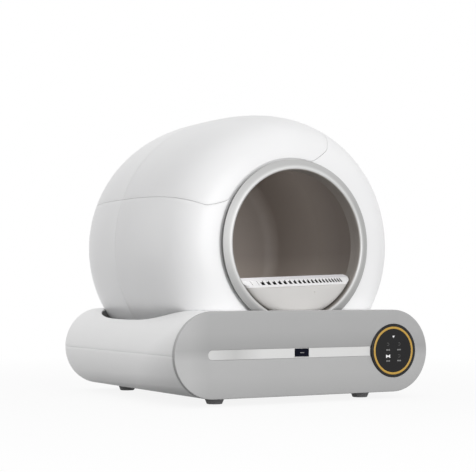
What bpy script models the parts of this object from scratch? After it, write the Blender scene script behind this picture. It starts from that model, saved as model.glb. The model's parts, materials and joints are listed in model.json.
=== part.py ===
"""Self cleaning litter box: a fixed globe housing on a low base, with a drum that turns inside it.

Metres, +Z up. The origin is on the floor under the middle of the outline, X points right as seen
by the cat at the door, and the door faces -Y. Every depth is a setback from the front panel's face.
"""

import math

import bmesh
import bpy
from mathutils import Matrix, Vector

# Clearances
SEAT_GAP = 0.0003
RUN_GAP = 0.0006
SEAM_GAP = 0.0010
OVERRUN = 0.010

# Base outline: a stadium seen from the front
BASE_WIDTH = 0.560
BASE_HEIGHT = 0.160
BODY_DEPTH = 0.520
BASE_WALL = 0.003
FOOT_HEIGHT = 0.0135
PANEL_THICK = 0.009
PANEL_GROOVE = 0.0015
REAR_EDGE = 0.003

# Globe housing: a body turned about the door's axis. Its nose and tail are where its curves close
GLOBE_SIDE_MARGIN = 0.0135
GLOBE_CREST_SHARE = 0.59308
GLOBE_NOSE_SETBACK = 0.0430
GLOBE_TAIL_OVERHANG = 0.0891
GLOBE_BACK_MARGIN = 0.0090
GLOBE_BACK_ROUND = 0.012
GLOBE_WALL = 0.003
GLOBE_JOINT_LEAD = 0.0144
DOOR_EDGE_INSET = 0.101
GLOBE_FRONT_SHARES = (3.09, 8.6)
GLOBE_REAR_SHARES = (3.02, 2.16)

# Door flange, ring and tunnel
FLANGE_DEPTH = 0.0026
FLANGE_CLEARANCE = 0.0077
RING_GROOVE = 0.0034
RING_WIDTH = 0.0198
RING_UNDERCUT = 0.0030
RING_PROUD = 0.0093
RING_LIP_PROUD = 0.0026
RING_CREST = 0.0032
TUNNEL_WALL = 0.003
TUNNEL_LENGTH = 0.0192
TUNNEL_FLANGE_WIDTH = 0.010

# Lift off cover in the globe's upper left
COVER_ANGLE = math.radians(93.0)
COVER_TILT = math.radians(23.5)
COVER_EDGE_SHARES = ((0.62, 0.79), (0.638, 0.85), (0.70, 0.942), (0.755, 0.998), (1.10, 1.0))

# Scoops beside the globe in the base's top
SCOOP_SIDE_MARGIN = 0.0277
SCOOP_END_MARGIN = 0.070
SCOOP_SHIFT = 0.015
SCOOP_SHARES = (3.0, 10.8)
WELL_GAP = 0.0012
RING_WELL_GAP = 0.0055

# Drum
DRUM_CLEARANCE = 0.0445
DRUM_DIP = 0.015
DRUM_WALL = 0.003
DRUM_MOUTH_GAP = 0.0064
DRUM_BACK_CLEARANCE = 0.019
DRUM_FRONT_ROUND = 0.035
DRUM_BACK_ROUND = 0.032
LINER_THICK = 0.0025
LINER_HALF_ANGLE = math.radians(70.0)
LINER_START = 0.040
LINER_END_MARGIN = 0.036
LINER_EDGE_SHARES = ((0.62, 1.0), (1.0, 1.0))

# Waste pocket in the drum: a slotted chord panel, its end wall and the port in the drum's wall
POCKET_DEPTH = 0.067
SIEVE_THICK = 0.003
SIEVE_END = 0.020
SIEVE_SLOT_WIDTH = 0.007
SIEVE_SLOT_PITCH = 0.013
SIEVE_SLOTS = 9
SIEVE_FIRST_SLOT = 0.012
SIEVE_SLOT_START = 0.045
SIEVE_SLOT_END_MARGIN = 0.022
SIEVE_SLOT_RIB = 0.012
PORT_HALF_WIDTH = 0.055
PORT_LENGTH = 0.125
PORT_END_MARGIN = 0.052
DRUM_JOINT_LEAD = 0.021

# Step guard clipped into the drum's mouth
GUARD_GAP = 0.0032
GUARD_WALL = 0.0025
GUARD_EDGE_DEPTH = 0.0061
GUARD_BULGE = 0.0165
GUARD_DOME_SHARES = (9.0, 2.0)
GUARD_SLOPE = math.radians(34.0)
GUARD_RISE = 0.0771
GUARD_TOP_DEPTH = 0.0204
GUARD_CORNER = 0.012
GUARD_TAIL = 0.012
GUARD_HOOK_LEAD = 0.001
GUARD_ROLL = math.radians(2.2)
GUARD_SLOTS = 20
GUARD_SLOTS_LEFT = 0.0775
GUARD_SLOTS_SPAN = 0.1765
GUARD_SLOTS_SPREAD_SHARE = 1.42
GUARD_SLOT_WIDTH_SHARE = 0.52
GUARD_SLOT_LENGTH = 0.0123
GUARD_SLOT_DEPTH = 0.0055

# Deck inside the base that carries the globe, the rollers and the funnel
DECK_THICK = 0.003
DECK_LIFT = 0.0010
DECK_EDGE_GAP = 0.0009
DECK_START_SETBACK = 0.0170
DECK_HOLE_SIDE_GAP = 0.0116
DECK_HOLE_FRONT_GAP = 0.004
DECK_HOLE_REAR_GAP = 0.0045
GEAR_HOLE_LEAD = 0.004
FUNNEL_WALL = 0.003
FUNNEL_DROP = 0.0177

# Rollers under the drum
ROLLER_RADIUS = 0.0125
ROLLER_WIDTH = 0.020
ROLLER_CHAMFER = 0.0015
ROLLER_FOOT_GAP = 0.0007
FRONT_ROLLER_INSET = 0.115
REAR_ROLLER_LEAD = 0.053
AXLE_RADIUS = 0.003
BRACKET_CHEEK = 0.004
BRACKET_BASE = 0.002
BRACKET_HALF_WIDTH = 0.010
BRACKET_FOOT_HALF_WIDTH = 0.0120
BRACKET_ABOVE_AXLE = 0.0060

# Ring gear and drive
PINION_TEETH = 12
GEAR_MODULE = 0.0048
GEAR_RISE = 0.0084
GEAR_WIDTH = 0.012
GEAR_INSET = 0.047
TOOTH_ADDENDUM_SHARE = 0.85
TOOTH_DEDENDUM_SHARE = 1.10
TOOTH_THICK_SHARE = 0.44
PRESSURE_ANGLE = math.radians(20.0)
PINION_LIFT = 0.0090558
GEAR_BACKLASH = 0.0004
PINION_SHAFT_RADIUS = 0.004
PINION_SHAFT_REACH = 0.0095
SHAFT_CLEARANCE = 0.0005
GEARBOX_DEPTH = 0.0275
GEARBOX_GAP = 0.0025
GEARBOX_BELOW = 0.027
GEARBOX_ABOVE = 0.027
GEARBOX_LEFT = 0.029
GEARBOX_RIGHT = 0.0197
GEARBOX_ROUND = 0.004
SHAFT_BORE_DEPTH = 0.008
MOTOR_RADIUS = 0.0185
MOTOR_LENGTH = 0.057
MOTOR_WALL_GAP = 0.0071
MOTOR_BOSS_RADIUS = 0.007
MOTOR_BOSS_LENGTH = 0.003
MOTOR_PLATE = 0.003
MOTOR_PLATE_FOOT = 0.012

# Drawer: bin, rails and the front panel that pulls it out
BIN_SIDE_MARGIN = 0.0665
BIN_WALL = 0.0022
BIN_FLOOR_GAP = 0.0010
BIN_TOP_GAP = 0.0045
BIN_GEAR_GAP = 0.013
BIN_RIM = 0.005
BIN_RIM_THICK = 0.0028
BIN_RIM_START_SETBACK = 0.0160
BIN_ROUND = 0.006
RAIL_HEIGHT = 0.005
BAY_CLEARANCE = 0.008
BAY_WALL = 0.003
BAY_END_GAP = 0.005
BAY_MOUTH_INSET = 0.0015
BAY_MOUTH_GAP = 0.006

# Front panel: a dished stadium with an inlaid strip
PANEL_EDGE = 0.0015
DISH_DEPTH = 0.0045
DISH_STEPS = 6
STRIP_RADIUS = 0.0093
STRIP_THICK = 0.0014
STRIP_SINK = 0.0008
STRIP_EDGE = 0.0004
POD_RADIUS = 0.052
POD_SINK = 0.0003
POD_EDGE = 0.0012
LIGHT_OUTER = 0.0468
LIGHT_INNER = 0.0426
LIGHT_DEPTH = 0.0020
GLASS_SINK = 0.0001
WINDOW_LEFT = -0.0243
WINDOW_RIGHT = 0.0061
WINDOW_DROP = 0.0069
WINDOW_PROUD = 0.0012
WINDOW_ROUND = 0.0016

# Feet
FOOT_INSET = 0.036
FOOT_END_INSET = 0.065
FOOT_TOP_RADIUS = 0.019
FOOT_BOTTOM_RADIUS = 0.015

# Boards and inlet
BOARD_THICK = 0.0016
CONTROL_BOARD_RADIUS = 0.036
SENSOR_BOARD_WIDTH = 0.040
SENSOR_BOARD_HEIGHT = 0.011
SENSOR_BOARD_X = -0.011
SENSOR_BOARD_DROP = 0.012
MAIN_BOARD_SIDE_MARGIN = 0.060
MAIN_BOARD_WALL_GAP = 0.0055
MAIN_BOARD_START_SETBACK = 0.140
MAIN_BOARD_LENGTH = 0.180
MAIN_BOARD_LIFT = 0.0135
CHIP_WIDTH = 0.014
CHIP_HEIGHT = 0.004
RELAY_WIDTH = 0.015
RELAY_LENGTH = 0.020
RELAY_HEIGHT = 0.016
PROCESSOR_SHARES = (0.33, 0.30)
DRIVER_SHARES = (0.66, 0.70)
POWER_RELAY_SHARES = (0.68, 0.36)
MOTOR_RELAY_SHARES = (0.32, 0.80)
POST_RADIUS = 0.004
POST_INSET = 0.009
POST_SINK = 0.001
INLET_INSET = 0.010
INLET_DROP = 0.0335
INLET_HALF = 0.0075
INLET_FLANGE = 0.0025
INLET_FLANGE_THICK = 0.0015
INLET_LENGTH = 0.016
INLET_BORE_RADIUS = 0.0032
INLET_BORE_DEPTH = 0.0105

# Facets
GLOBE_STEPS = 60
DRUM_STEPS = 56
RING_STEPS = 60
PART_STEPS = 24
SMALL_STEPS = 16
ARC_STEPS = 14
SHELL_STEPS = 9
LINING_STEPS = 6
ROUND_STEPS = 3

# Heights and widths worked out from the sizes above
FRONT = -BODY_DEPTH / 2
REAR = BODY_DEPTH / 2
END_RADIUS = BASE_HEIGHT / 2
STRAIGHT_HALF = BASE_WIDTH / 2 - END_RADIUS
BODY_MID = FOOT_HEIGHT + END_RADIUS
BODY_TOP = FOOT_HEIGHT + BASE_HEIGHT
FLOOR_TOP = FOOT_HEIGHT + BASE_WALL
DECK_BOTTOM = BODY_MID + DECK_LIFT
DECK_TOP = DECK_BOTTOM + DECK_THICK
GLOBE_RADIUS = BASE_WIDTH / 2 - GLOBE_SIDE_MARGIN
DRUM_RADIUS = GLOBE_RADIUS - DRUM_CLEARANCE
DRUM_BOTTOM = BODY_MID - DRUM_DIP
AXIS_HEIGHT = DRUM_BOTTOM + DRUM_RADIUS
AXIS = Vector((0.0, 0.0, AXIS_HEIGHT))
DOOR_EDGE_RADIUS = GLOBE_RADIUS - DOOR_EDGE_INSET
RING_OUTER = DOOR_EDGE_RADIUS - RING_GROOVE
RING_INNER = RING_OUTER - RING_WIDTH
FLANGE_RADIUS = RING_INNER + FLANGE_CLEARANCE
TUNNEL_FLANGE_RADIUS = FLANGE_RADIUS + TUNNEL_FLANGE_WIDTH
DRUM_MOUTH_RADIUS = FLANGE_RADIUS
GUARD_RADIUS = RING_INNER - GUARD_GAP
GUARD_TOP = AXIS_HEIGHT - GUARD_RADIUS + GUARD_RISE
SIEVE_HEIGHT = DRUM_RADIUS - POCKET_DEPTH
BIN_HALF_WIDTH = STRAIGHT_HALF - BIN_SIDE_MARGIN
BIN_BOTTOM = FLOOR_TOP + BIN_FLOOR_GAP
BIN_TOP = DRUM_BOTTOM - BIN_TOP_GAP
BAY_HALF_WIDTH = BIN_HALF_WIDTH + BAY_CLEARANCE
DECK_HOLE_HALF_WIDTH = (
    math.sqrt(DRUM_RADIUS**2 - (AXIS_HEIGHT - DECK_TOP) ** 2) + DECK_HOLE_SIDE_GAP
)
SCOOP_HALF_WIDTH = BASE_WIDTH / 2 - SCOOP_SIDE_MARGIN
SCOOP_HALF_LENGTH = BODY_DEPTH / 2 - SCOOP_END_MARGIN

# Setbacks worked out from the sizes above
PANEL_BACK = FRONT + PANEL_THICK
BODY_FRONT = PANEL_BACK + PANEL_GROOVE
BODY_INNER_FRONT = BODY_FRONT + BASE_WALL
BODY_INNER_REAR = REAR - BASE_WALL
GLOBE_CREST_SETBACK = BODY_DEPTH * GLOBE_CREST_SHARE
GLOBE_JOINT_SETBACK = GLOBE_CREST_SETBACK - GLOBE_JOINT_LEAD
GLOBE_FRONT_LENGTH = GLOBE_CREST_SETBACK - GLOBE_NOSE_SETBACK
GLOBE_REAR_LENGTH = BODY_DEPTH + GLOBE_TAIL_OVERHANG - GLOBE_CREST_SETBACK
GLOBE_BACK_SETBACK = BODY_DEPTH - GLOBE_BACK_MARGIN
DOOR_EDGE_SHARE = 1 - (DOOR_EDGE_RADIUS / GLOBE_RADIUS) ** GLOBE_FRONT_SHARES[1]
DOOR_SETBACK = GLOBE_CREST_SETBACK - GLOBE_FRONT_LENGTH * DOOR_EDGE_SHARE ** (
    1 / GLOBE_FRONT_SHARES[0]
)
FLANGE_SETBACK = DOOR_SETBACK + FLANGE_DEPTH
FLANGE_BACK_SETBACK = FLANGE_SETBACK + GLOBE_WALL
RING_EDGE_SETBACK = DOOR_SETBACK - RING_PROUD
RING_LIP_SETBACK = RING_EDGE_SETBACK - RING_LIP_PROUD
TUNNEL_END_SETBACK = DOOR_SETBACK + TUNNEL_LENGTH
DRUM_MOUTH_SETBACK = TUNNEL_END_SETBACK + DRUM_MOUTH_GAP
DRUM_BACK_SETBACK = GLOBE_BACK_SETBACK - DRUM_BACK_CLEARANCE
PORT_END_SETBACK = DRUM_BACK_SETBACK - PORT_END_MARGIN
PORT_START_SETBACK = PORT_END_SETBACK - PORT_LENGTH
DRUM_JOINT_SETBACK = PORT_START_SETBACK - DRUM_JOINT_LEAD
GEAR_SETBACK = DRUM_BACK_SETBACK - GEAR_INSET
BIN_END_SETBACK = GEAR_SETBACK - BIN_GEAR_GAP
ROLLER_SETBACKS = (DRUM_MOUTH_SETBACK + FRONT_ROLLER_INSET, GEAR_SETBACK - REAR_ROLLER_LEAD)
DECK_HOLE_START_SETBACK = DRUM_MOUTH_SETBACK - DECK_HOLE_FRONT_GAP
DECK_HOLE_END_SETBACK = GEAR_SETBACK - GEAR_HOLE_LEAD
GUARD_EDGE_SETBACK = RING_EDGE_SETBACK + GUARD_EDGE_DEPTH
GUARD_TOP_SETBACK = RING_EDGE_SETBACK + GUARD_TOP_DEPTH
GUARD_BACK_SETBACK = DRUM_MOUTH_SETBACK + GUARD_TAIL

# Gear places worked out from the sizes above
GEAR_TEETH = round(2 * (DRUM_RADIUS + GEAR_RISE) / GEAR_MODULE)
GEAR_PITCH_RADIUS = GEAR_TEETH * GEAR_MODULE / 2
PINION_PITCH_RADIUS = PINION_TEETH * GEAR_MODULE / 2
PINION_TIP_RADIUS = PINION_PITCH_RADIUS + TOOTH_ADDENDUM_SHARE * GEAR_MODULE
GEAR_CENTRES = GEAR_PITCH_RADIUS + PINION_PITCH_RADIUS + GEAR_BACKLASH
PINION_Z = (FLOOR_TOP + DRUM_BOTTOM) / 2 + PINION_LIFT
PINION_ANGLE = math.acos((AXIS_HEIGHT - PINION_Z) / GEAR_CENTRES)
PINION_X = GEAR_CENTRES * math.sin(PINION_ANGLE)
MOTOR_X = BAY_HALF_WIDTH + BAY_WALL + MOTOR_WALL_GAP + MOTOR_RADIUS
GEARBOX_END = MOTOR_X + GEARBOX_RIGHT
INLET_X = INLET_INSET - STRAIGHT_HALF
INLET_Z = BODY_MID - INLET_DROP


def back(setback):
    """The Y of a place that lies this far behind the front panel's face."""
    return FRONT + setback


# Scene, collections and materials
for leftover in list(bpy.data.objects):
    bpy.data.objects.remove(leftover, do_unlink=True)
PARTS = bpy.data.collections.new("self_cleaning_litter_box")
CUTTERS = bpy.data.collections.new("cutters")
for group in (PARTS, CUTTERS):
    bpy.context.scene.collection.children.link(group)


def make_material(name, colour, roughness, metallic=0.0):
    material = bpy.data.materials.new(name)
    material.use_nodes = True
    shader = material.node_tree.nodes["Principled BSDF"]
    shader.inputs["Base Color"].default_value = (*colour, 1.0)
    shader.inputs["Roughness"].default_value = roughness
    shader.inputs["Metallic"].default_value = metallic
    return material


WHITE = make_material("white_plastic", (0.86, 0.86, 0.86), 0.32)
PALE = make_material("pale_plastic", (0.74, 0.74, 0.74), 0.42)
GREY = make_material("grey_plastic", (0.40, 0.40, 0.41), 0.45)
SILVER = make_material("silver_ring", (0.52, 0.53, 0.54), 0.30, 0.35)
DRUM_GREY = make_material("drum_plastic", (0.10, 0.088, 0.080), 0.50)
LINER_GREY = make_material("liner_rubber", (0.085, 0.078, 0.072), 0.70)
BLACK = make_material("black_gloss", (0.014, 0.014, 0.015), 0.15)
GLASS = make_material("window_gloss", (0.004, 0.005, 0.012), 0.10)
AMBER = make_material("amber_light", (0.66, 0.38, 0.055), 0.35)
RUBBER = make_material("foot_rubber", (0.045, 0.045, 0.047), 0.75)
ACETAL = make_material("gear_plastic", (0.62, 0.60, 0.55), 0.45)
STEEL = make_material("steel", (0.58, 0.58, 0.60), 0.30, 0.9)
BOARD = make_material("circuit_board", (0.02, 0.16, 0.06), 0.50)


# Shape helpers
def add_object(name, bm, material):
    """Makes an object of the mesh, as a part with its material or, without one, as a cutter."""
    bmesh.ops.recalc_face_normals(bm, faces=bm.faces)
    mesh = bpy.data.meshes.new(name)
    bm.to_mesh(mesh)
    bm.free()
    obj = bpy.data.objects.new(name, mesh)
    if material is None:
        CUTTERS.objects.link(obj)
        obj.hide_render = True
        obj.display_type = "WIRE"
    else:
        PARTS.objects.link(obj)
        mesh.materials.append(material)
    return obj


def block(name, low, high, material=None):
    """A box between two corners."""
    bm = bmesh.new()
    bmesh.ops.create_cube(bm, size=1)
    size = Vector(high) - Vector(low)
    middle = (Vector(high) + Vector(low)) / 2
    bmesh.ops.scale(bm, vec=size, verts=bm.verts)
    bmesh.ops.translate(bm, vec=middle, verts=bm.verts)
    return add_object(name, bm, material)


def rod(name, centre, radius, start, end, steps, material=None, end_radius=None, axis="Y"):
    """A cylinder or cone along Y or Z, from start to end, round a centre in the other two axes."""
    bm = bmesh.new()
    far_radius = radius if end_radius is None else end_radius
    bmesh.ops.create_cone(
        bm, cap_ends=True, segments=steps, radius1=radius, radius2=far_radius, depth=end - start
    )
    middle = (start + end) / 2
    if axis == "Y":
        turn = Matrix.Rotation(-math.pi / 2, 3, "X")
        bmesh.ops.rotate(bm, cent=Vector(), matrix=turn, verts=bm.verts)
        place = Vector((centre[0], middle, centre[1]))
    else:
        place = Vector((centre[0], centre[1], middle))
    bmesh.ops.translate(bm, vec=place, verts=bm.verts)
    return add_object(name, bm, material)


def prism(name, outline, start, end, material=None, axis="Y"):
    """An outline extruded along Y, Z or X. Its points are (x, z), (x, y) or (y, z)."""
    to_point = {
        "Y": lambda a, b: (a, start, b),
        "Z": lambda a, b: (a, b, start),
        "X": lambda a, b: (start, a, b),
    }[axis]
    along = {"Y": Vector((0, 1, 0)), "Z": Vector((0, 0, 1)), "X": Vector((1, 0, 0))}[axis]
    bm = bmesh.new()
    face = bm.faces.new([bm.verts.new(to_point(a, b)) for a, b in outline])
    grown = bmesh.ops.extrude_face_region(bm, geom=[face])
    moved = [item for item in grown["geom"] if isinstance(item, bmesh.types.BMVert)]
    bmesh.ops.translate(bm, vec=along * (end - start), verts=moved)
    return add_object(name, bm, material)


def turned(name, profile, steps, material=None, centre=(0.0, AXIS_HEIGHT), closed=True):
    """Turns (radius, y) points about an axis along Y. They run front to rear down the outer side."""
    mesh = bpy.data.meshes.new(name)
    points = [(radius, 0.0, -y) for radius, y in profile]
    edges = [(i, i + 1) for i in range(len(points) - 1)]
    if closed:
        edges.append((len(points) - 1, 0))
    mesh.from_pydata(points, edges, [])
    obj = bpy.data.objects.new(name, mesh)
    obj.rotation_euler = (math.pi / 2, 0.0, 0.0)
    obj.location = (centre[0], 0.0, centre[1])
    if material is None:
        CUTTERS.objects.link(obj)
        obj.hide_render = True
        obj.display_type = "WIRE"
    else:
        PARTS.objects.link(obj)
        mesh.materials.append(material)
    screw = obj.modifiers.new("turn", "SCREW")
    screw.axis = "Z"
    screw.steps = steps
    screw.render_steps = steps
    screw.use_merge_vertices = True
    screw.merge_threshold = 0.00001
    screw.use_smooth_shade = True
    return obj


def boolean(obj, others, operation):
    for other in others:
        step = obj.modifiers.new(operation.lower(), "BOOLEAN")
        step.operation = operation
        step.solver = "EXACT"
        step.object = other
    return obj


def cut(obj, *cutters):
    return boolean(obj, cutters, "DIFFERENCE")


def join(obj, *others):
    return boolean(obj, others, "UNION")


def keep(obj, *others):
    return boolean(obj, others, "INTERSECT")


def bevel(obj, width, steps=2, angle=math.radians(40.0)):
    """Rounds the sharp edges."""
    step = obj.modifiers.new("bevel", "BEVEL")
    step.width = width
    step.segments = steps
    step.limit_method = "ANGLE"
    step.angle_limit = angle
    return obj


def roll(obj, angle):
    """Turns a mesh about the drum's axis, anticlockwise as seen from the door."""
    obj.data.transform(
        Matrix.Translation(AXIS) @ Matrix.Rotation(-angle, 4, "Y") @ Matrix.Translation(-AXIS)
    )
    return obj


def smooth(obj, angle=math.radians(30.0)):
    """Shades round faces smooth and leaves the real edges sharp."""
    obj.data.shade_smooth()
    obj.data.set_sharp_from_angle(angle=angle)
    return obj


# Outlines
def stadium(radius, steps=ARC_STEPS):
    """The base's outline, or one drawn in from it, as (x, z) points."""
    points = []
    for side in (1, -1):
        for step in range(steps + 1):
            angle = side * (step / steps - 0.5) * math.pi
            points.append(
                (
                    side * (STRAIGHT_HALF + radius * math.cos(angle)),
                    BODY_MID + radius * math.sin(angle),
                )
            )
    return points


def superellipse(position, reach, shares):
    """How much of its full radius a bulging profile still has at a distance from its crest."""
    return (1 - min(abs(position) / reach, 1) ** shares[0]) ** (1 / shares[1])


def eased(step, steps):
    """Steps that close up towards the end, where a bulging profile turns in."""
    return 1 - (1 - step / steps) ** 2


def globe_front(shrink, last_setback, steps):
    """(radius, y) points of the globe from its front, at a setback, back to its crest."""
    radius = GLOBE_RADIUS - shrink
    reach = GLOBE_FRONT_LENGTH - shrink
    span = GLOBE_CREST_SETBACK - last_setback
    points = []
    for step in range(steps, -1, -1):
        distance = span * eased(step, steps)
        share = superellipse(distance, reach, GLOBE_FRONT_SHARES)
        points.append((radius * share, back(GLOBE_CREST_SETBACK - distance)))
    return points


def globe_rear(shrink, steps):
    """(radius, y) points of the globe from its crest to its back wall and round onto it."""
    radius = GLOBE_RADIUS - shrink
    reach = GLOBE_REAR_LENGTH - shrink
    corner = GLOBE_BACK_ROUND - shrink
    span = GLOBE_BACK_SETBACK - GLOBE_BACK_ROUND - GLOBE_CREST_SETBACK
    points = []
    for step in range(steps + 1):
        distance = span * eased(step, steps)
        share = superellipse(distance, reach, GLOBE_REAR_SHARES)
        points.append((radius * share, back(GLOBE_CREST_SETBACK + distance)))
    edge_radius, edge_y = points[-1]
    for step in range(1, ROUND_STEPS + 1):
        angle = step / ROUND_STEPS * math.pi / 2
        points.append(
            (edge_radius - corner * (1 - math.cos(angle)), edge_y + corner * math.sin(angle))
        )
    return points


def globe_radius_at(setback, shrink):
    """The globe's radius near its crest, at a setback."""
    if setback < GLOBE_CREST_SETBACK:
        reach, shares = GLOBE_FRONT_LENGTH, GLOBE_FRONT_SHARES
    else:
        reach, shares = GLOBE_REAR_LENGTH, GLOBE_REAR_SHARES
    share = superellipse(setback - GLOBE_CREST_SETBACK, reach - shrink, shares)
    return (GLOBE_RADIUS - shrink) * share


def flange_points():
    """The inner flange that the ring and the tunnel are fixed to, from its back to the door's edge."""
    return [
        (FLANGE_RADIUS, back(FLANGE_BACK_SETBACK)),
        (FLANGE_RADIUS, back(FLANGE_SETBACK)),
        (DOOR_EDGE_RADIUS, back(FLANGE_SETBACK)),
    ]


def front_before(points, limit_setback):
    """The points of a front profile that lie before a setback."""
    return [point for point in points if point[1] < back(limit_setback) - SEAT_GAP]


def wedge(name, gap, inner_radius, half_angle, edge_shares):
    """A sector along Y round the drum's axis, pointing up, with side edges that may bend in."""
    outer_radius = GLOBE_RADIUS * edge_shares[-1][0]
    side = []
    for radius_share, angle_share in edge_shares:
        radius = max(GLOBE_RADIUS * radius_share, inner_radius)
        side.append((radius, half_angle * angle_share + gap / radius))
    points = [(radius, -angle) for radius, angle in side]
    last_angle = side[-1][1]
    for step in range(1, SMALL_STEPS):
        points.append((outer_radius, last_angle * (2 * step / SMALL_STEPS - 1)))
    points.extend((radius, angle) for radius, angle in reversed(side))
    first_angle = side[0][1]
    for step in range(1, SMALL_STEPS):
        points.append((side[0][0], first_angle * (1 - 2 * step / SMALL_STEPS)))
    outline = [
        (radius * math.sin(angle), AXIS_HEIGHT + radius * math.cos(angle))
        for radius, angle in points
    ]
    return prism(name, outline, FRONT - OVERRUN, REAR + OVERRUN)


def lofted(name, rings, material):
    """A solid through stadium loops, given as (radius, y) from the back round to the front."""
    bm = bmesh.new()
    loops = []
    for radius, y in rings:
        loops.append([bm.verts.new((x, y, z)) for x, z in stadium(radius)])
    bm.faces.new(loops[0])
    bm.faces.new(loops[-1])
    for near, far in zip(loops, loops[1:]):
        for index in range(len(near)):
            after = (index + 1) % len(near)
            bm.faces.new((near[index], near[after], far[after], far[index]))
    return smooth(add_object(name, bm, material))


# Base
def main_board_edges():
    """The main board's left, front, right and rear edges, beside the drawer's bay."""
    start = back(MAIN_BOARD_START_SETBACK)
    left = MAIN_BOARD_SIDE_MARGIN - BASE_WIDTH / 2
    right = -BAY_HALF_WIDTH - BAY_WALL - MAIN_BOARD_WALL_GAP
    return left, start, right, start + MAIN_BOARD_LENGTH


def make_base():
    rings = [(END_RADIUS - REAR_EDGE, REAR), (END_RADIUS, REAR - REAR_EDGE), (END_RADIUS, BODY_FRONT)]
    inner = stadium(END_RADIUS - BASE_WALL)
    hollow = prism("base_hollow", inner, BODY_INNER_FRONT, BODY_INNER_REAR)
    wide = BASE_WIDTH / 2 + OVERRUN
    above_seam = block(
        "above_seam",
        (-wide, FRONT - OVERRUN, BODY_MID - SEAT_GAP / 2),
        (wide, REAR + OVERRUN, BODY_TOP + OVERRUN),
    )
    below_seam = block(
        "below_seam",
        (-wide, FRONT - OVERRUN, -OVERRUN),
        (wide, REAR + OVERRUN, BODY_MID + SEAT_GAP / 2),
    )
    mouth_half = BAY_HALF_WIDTH - BAY_MOUTH_INSET
    bay_mouth = block(
        "bay_mouth",
        (-mouth_half, BODY_FRONT - OVERRUN, FLOOR_TOP),
        (mouth_half, BODY_INNER_FRONT + OVERRUN, BIN_TOP + BAY_MOUTH_GAP),
    )
    inlet_hole = block(
        "inlet_hole",
        (INLET_X - INLET_HALF - RUN_GAP, REAR - OVERRUN, INLET_Z - INLET_HALF - RUN_GAP),
        (INLET_X + INLET_HALF + RUN_GAP, REAR + OVERRUN, INLET_Z + INLET_HALF + RUN_GAP),
    )
    lower = lofted("base_lower_shell", rings, PALE)
    cut(lower, hollow, above_seam, bay_mouth, inlet_hole)
    for side, label in ((-1, "left"), (1, "right")):
        edges = sorted((side * BAY_HALF_WIDTH, side * (BAY_HALF_WIDTH + BAY_WALL)))
        wall = block(
            f"bay_wall_{label}",
            (edges[0], BODY_INNER_FRONT + SEAT_GAP, FLOOR_TOP - BASE_WALL / 2),
            (edges[1], back(BIN_END_SETBACK) + BAY_END_GAP, DECK_BOTTOM - SEAT_GAP),
        )
        join(lower, wall)
    left, start, right, end = main_board_edges()
    for x in (left + POST_INSET, right - POST_INSET):
        for y in (start + POST_INSET, end - POST_INSET):
            post = rod(
                "board_post",
                (x, y),
                POST_RADIUS,
                FLOOR_TOP - POST_SINK,
                FLOOR_TOP + MAIN_BOARD_LIFT - SEAT_GAP,
                SMALL_STEPS,
                axis="Z",
            )
            join(lower, post)

    upper = lofted("base_upper_shell", rings, PALE)
    door = back(DOOR_SETBACK) - WELL_GAP
    well_start = back(RING_LIP_SETBACK) - RING_WELL_GAP
    profile = [(0.0, well_start), (DOOR_EDGE_RADIUS + WELL_GAP, well_start)]
    profile.append((DOOR_EDGE_RADIUS + WELL_GAP, door))
    profile.extend(globe_front(-WELL_GAP, DOOR_SETBACK + WELL_GAP, SHELL_STEPS)[:-1])
    profile.extend(globe_rear(-WELL_GAP, LINING_STEPS))
    profile.append((0.0, profile[-1][1]))
    well = turned("globe_well", profile, GLOBE_STEPS, closed=False)
    outline = []
    scoop_middle = (FRONT + REAR) / 2 + SCOOP_SHIFT
    for side in (1, -1):
        for step in range(-SMALL_STEPS, SMALL_STEPS + 1):
            along = SCOOP_HALF_LENGTH * math.sin(step / SMALL_STEPS * math.pi / 2)
            width = SCOOP_HALF_WIDTH * superellipse(along, SCOOP_HALF_LENGTH, SCOOP_SHARES)
            if width > 0:
                outline.append((side * width, scoop_middle + side * along))
    scoops = prism("side_scoops", outline, BODY_MID, BODY_TOP + OVERRUN, axis="Z")
    cut(upper, hollow, below_seam, scoops, well)

    foot_x = STRAIGHT_HALF - FOOT_INSET
    for x in (-foot_x, foot_x):
        for place, setback in (("front", FOOT_END_INSET), ("rear", BODY_DEPTH - FOOT_END_INSET)):
            side = "left" if x < 0 else "right"
            foot = rod(
                f"foot_{place}_{side}",
                (x, back(setback)),
                FOOT_BOTTOM_RADIUS,
                0.0,
                FOOT_HEIGHT - SEAT_GAP,
                PART_STEPS,
                RUBBER,
                end_radius=FOOT_TOP_RADIUS,
                axis="Z",
            )
            smooth(foot)


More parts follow.
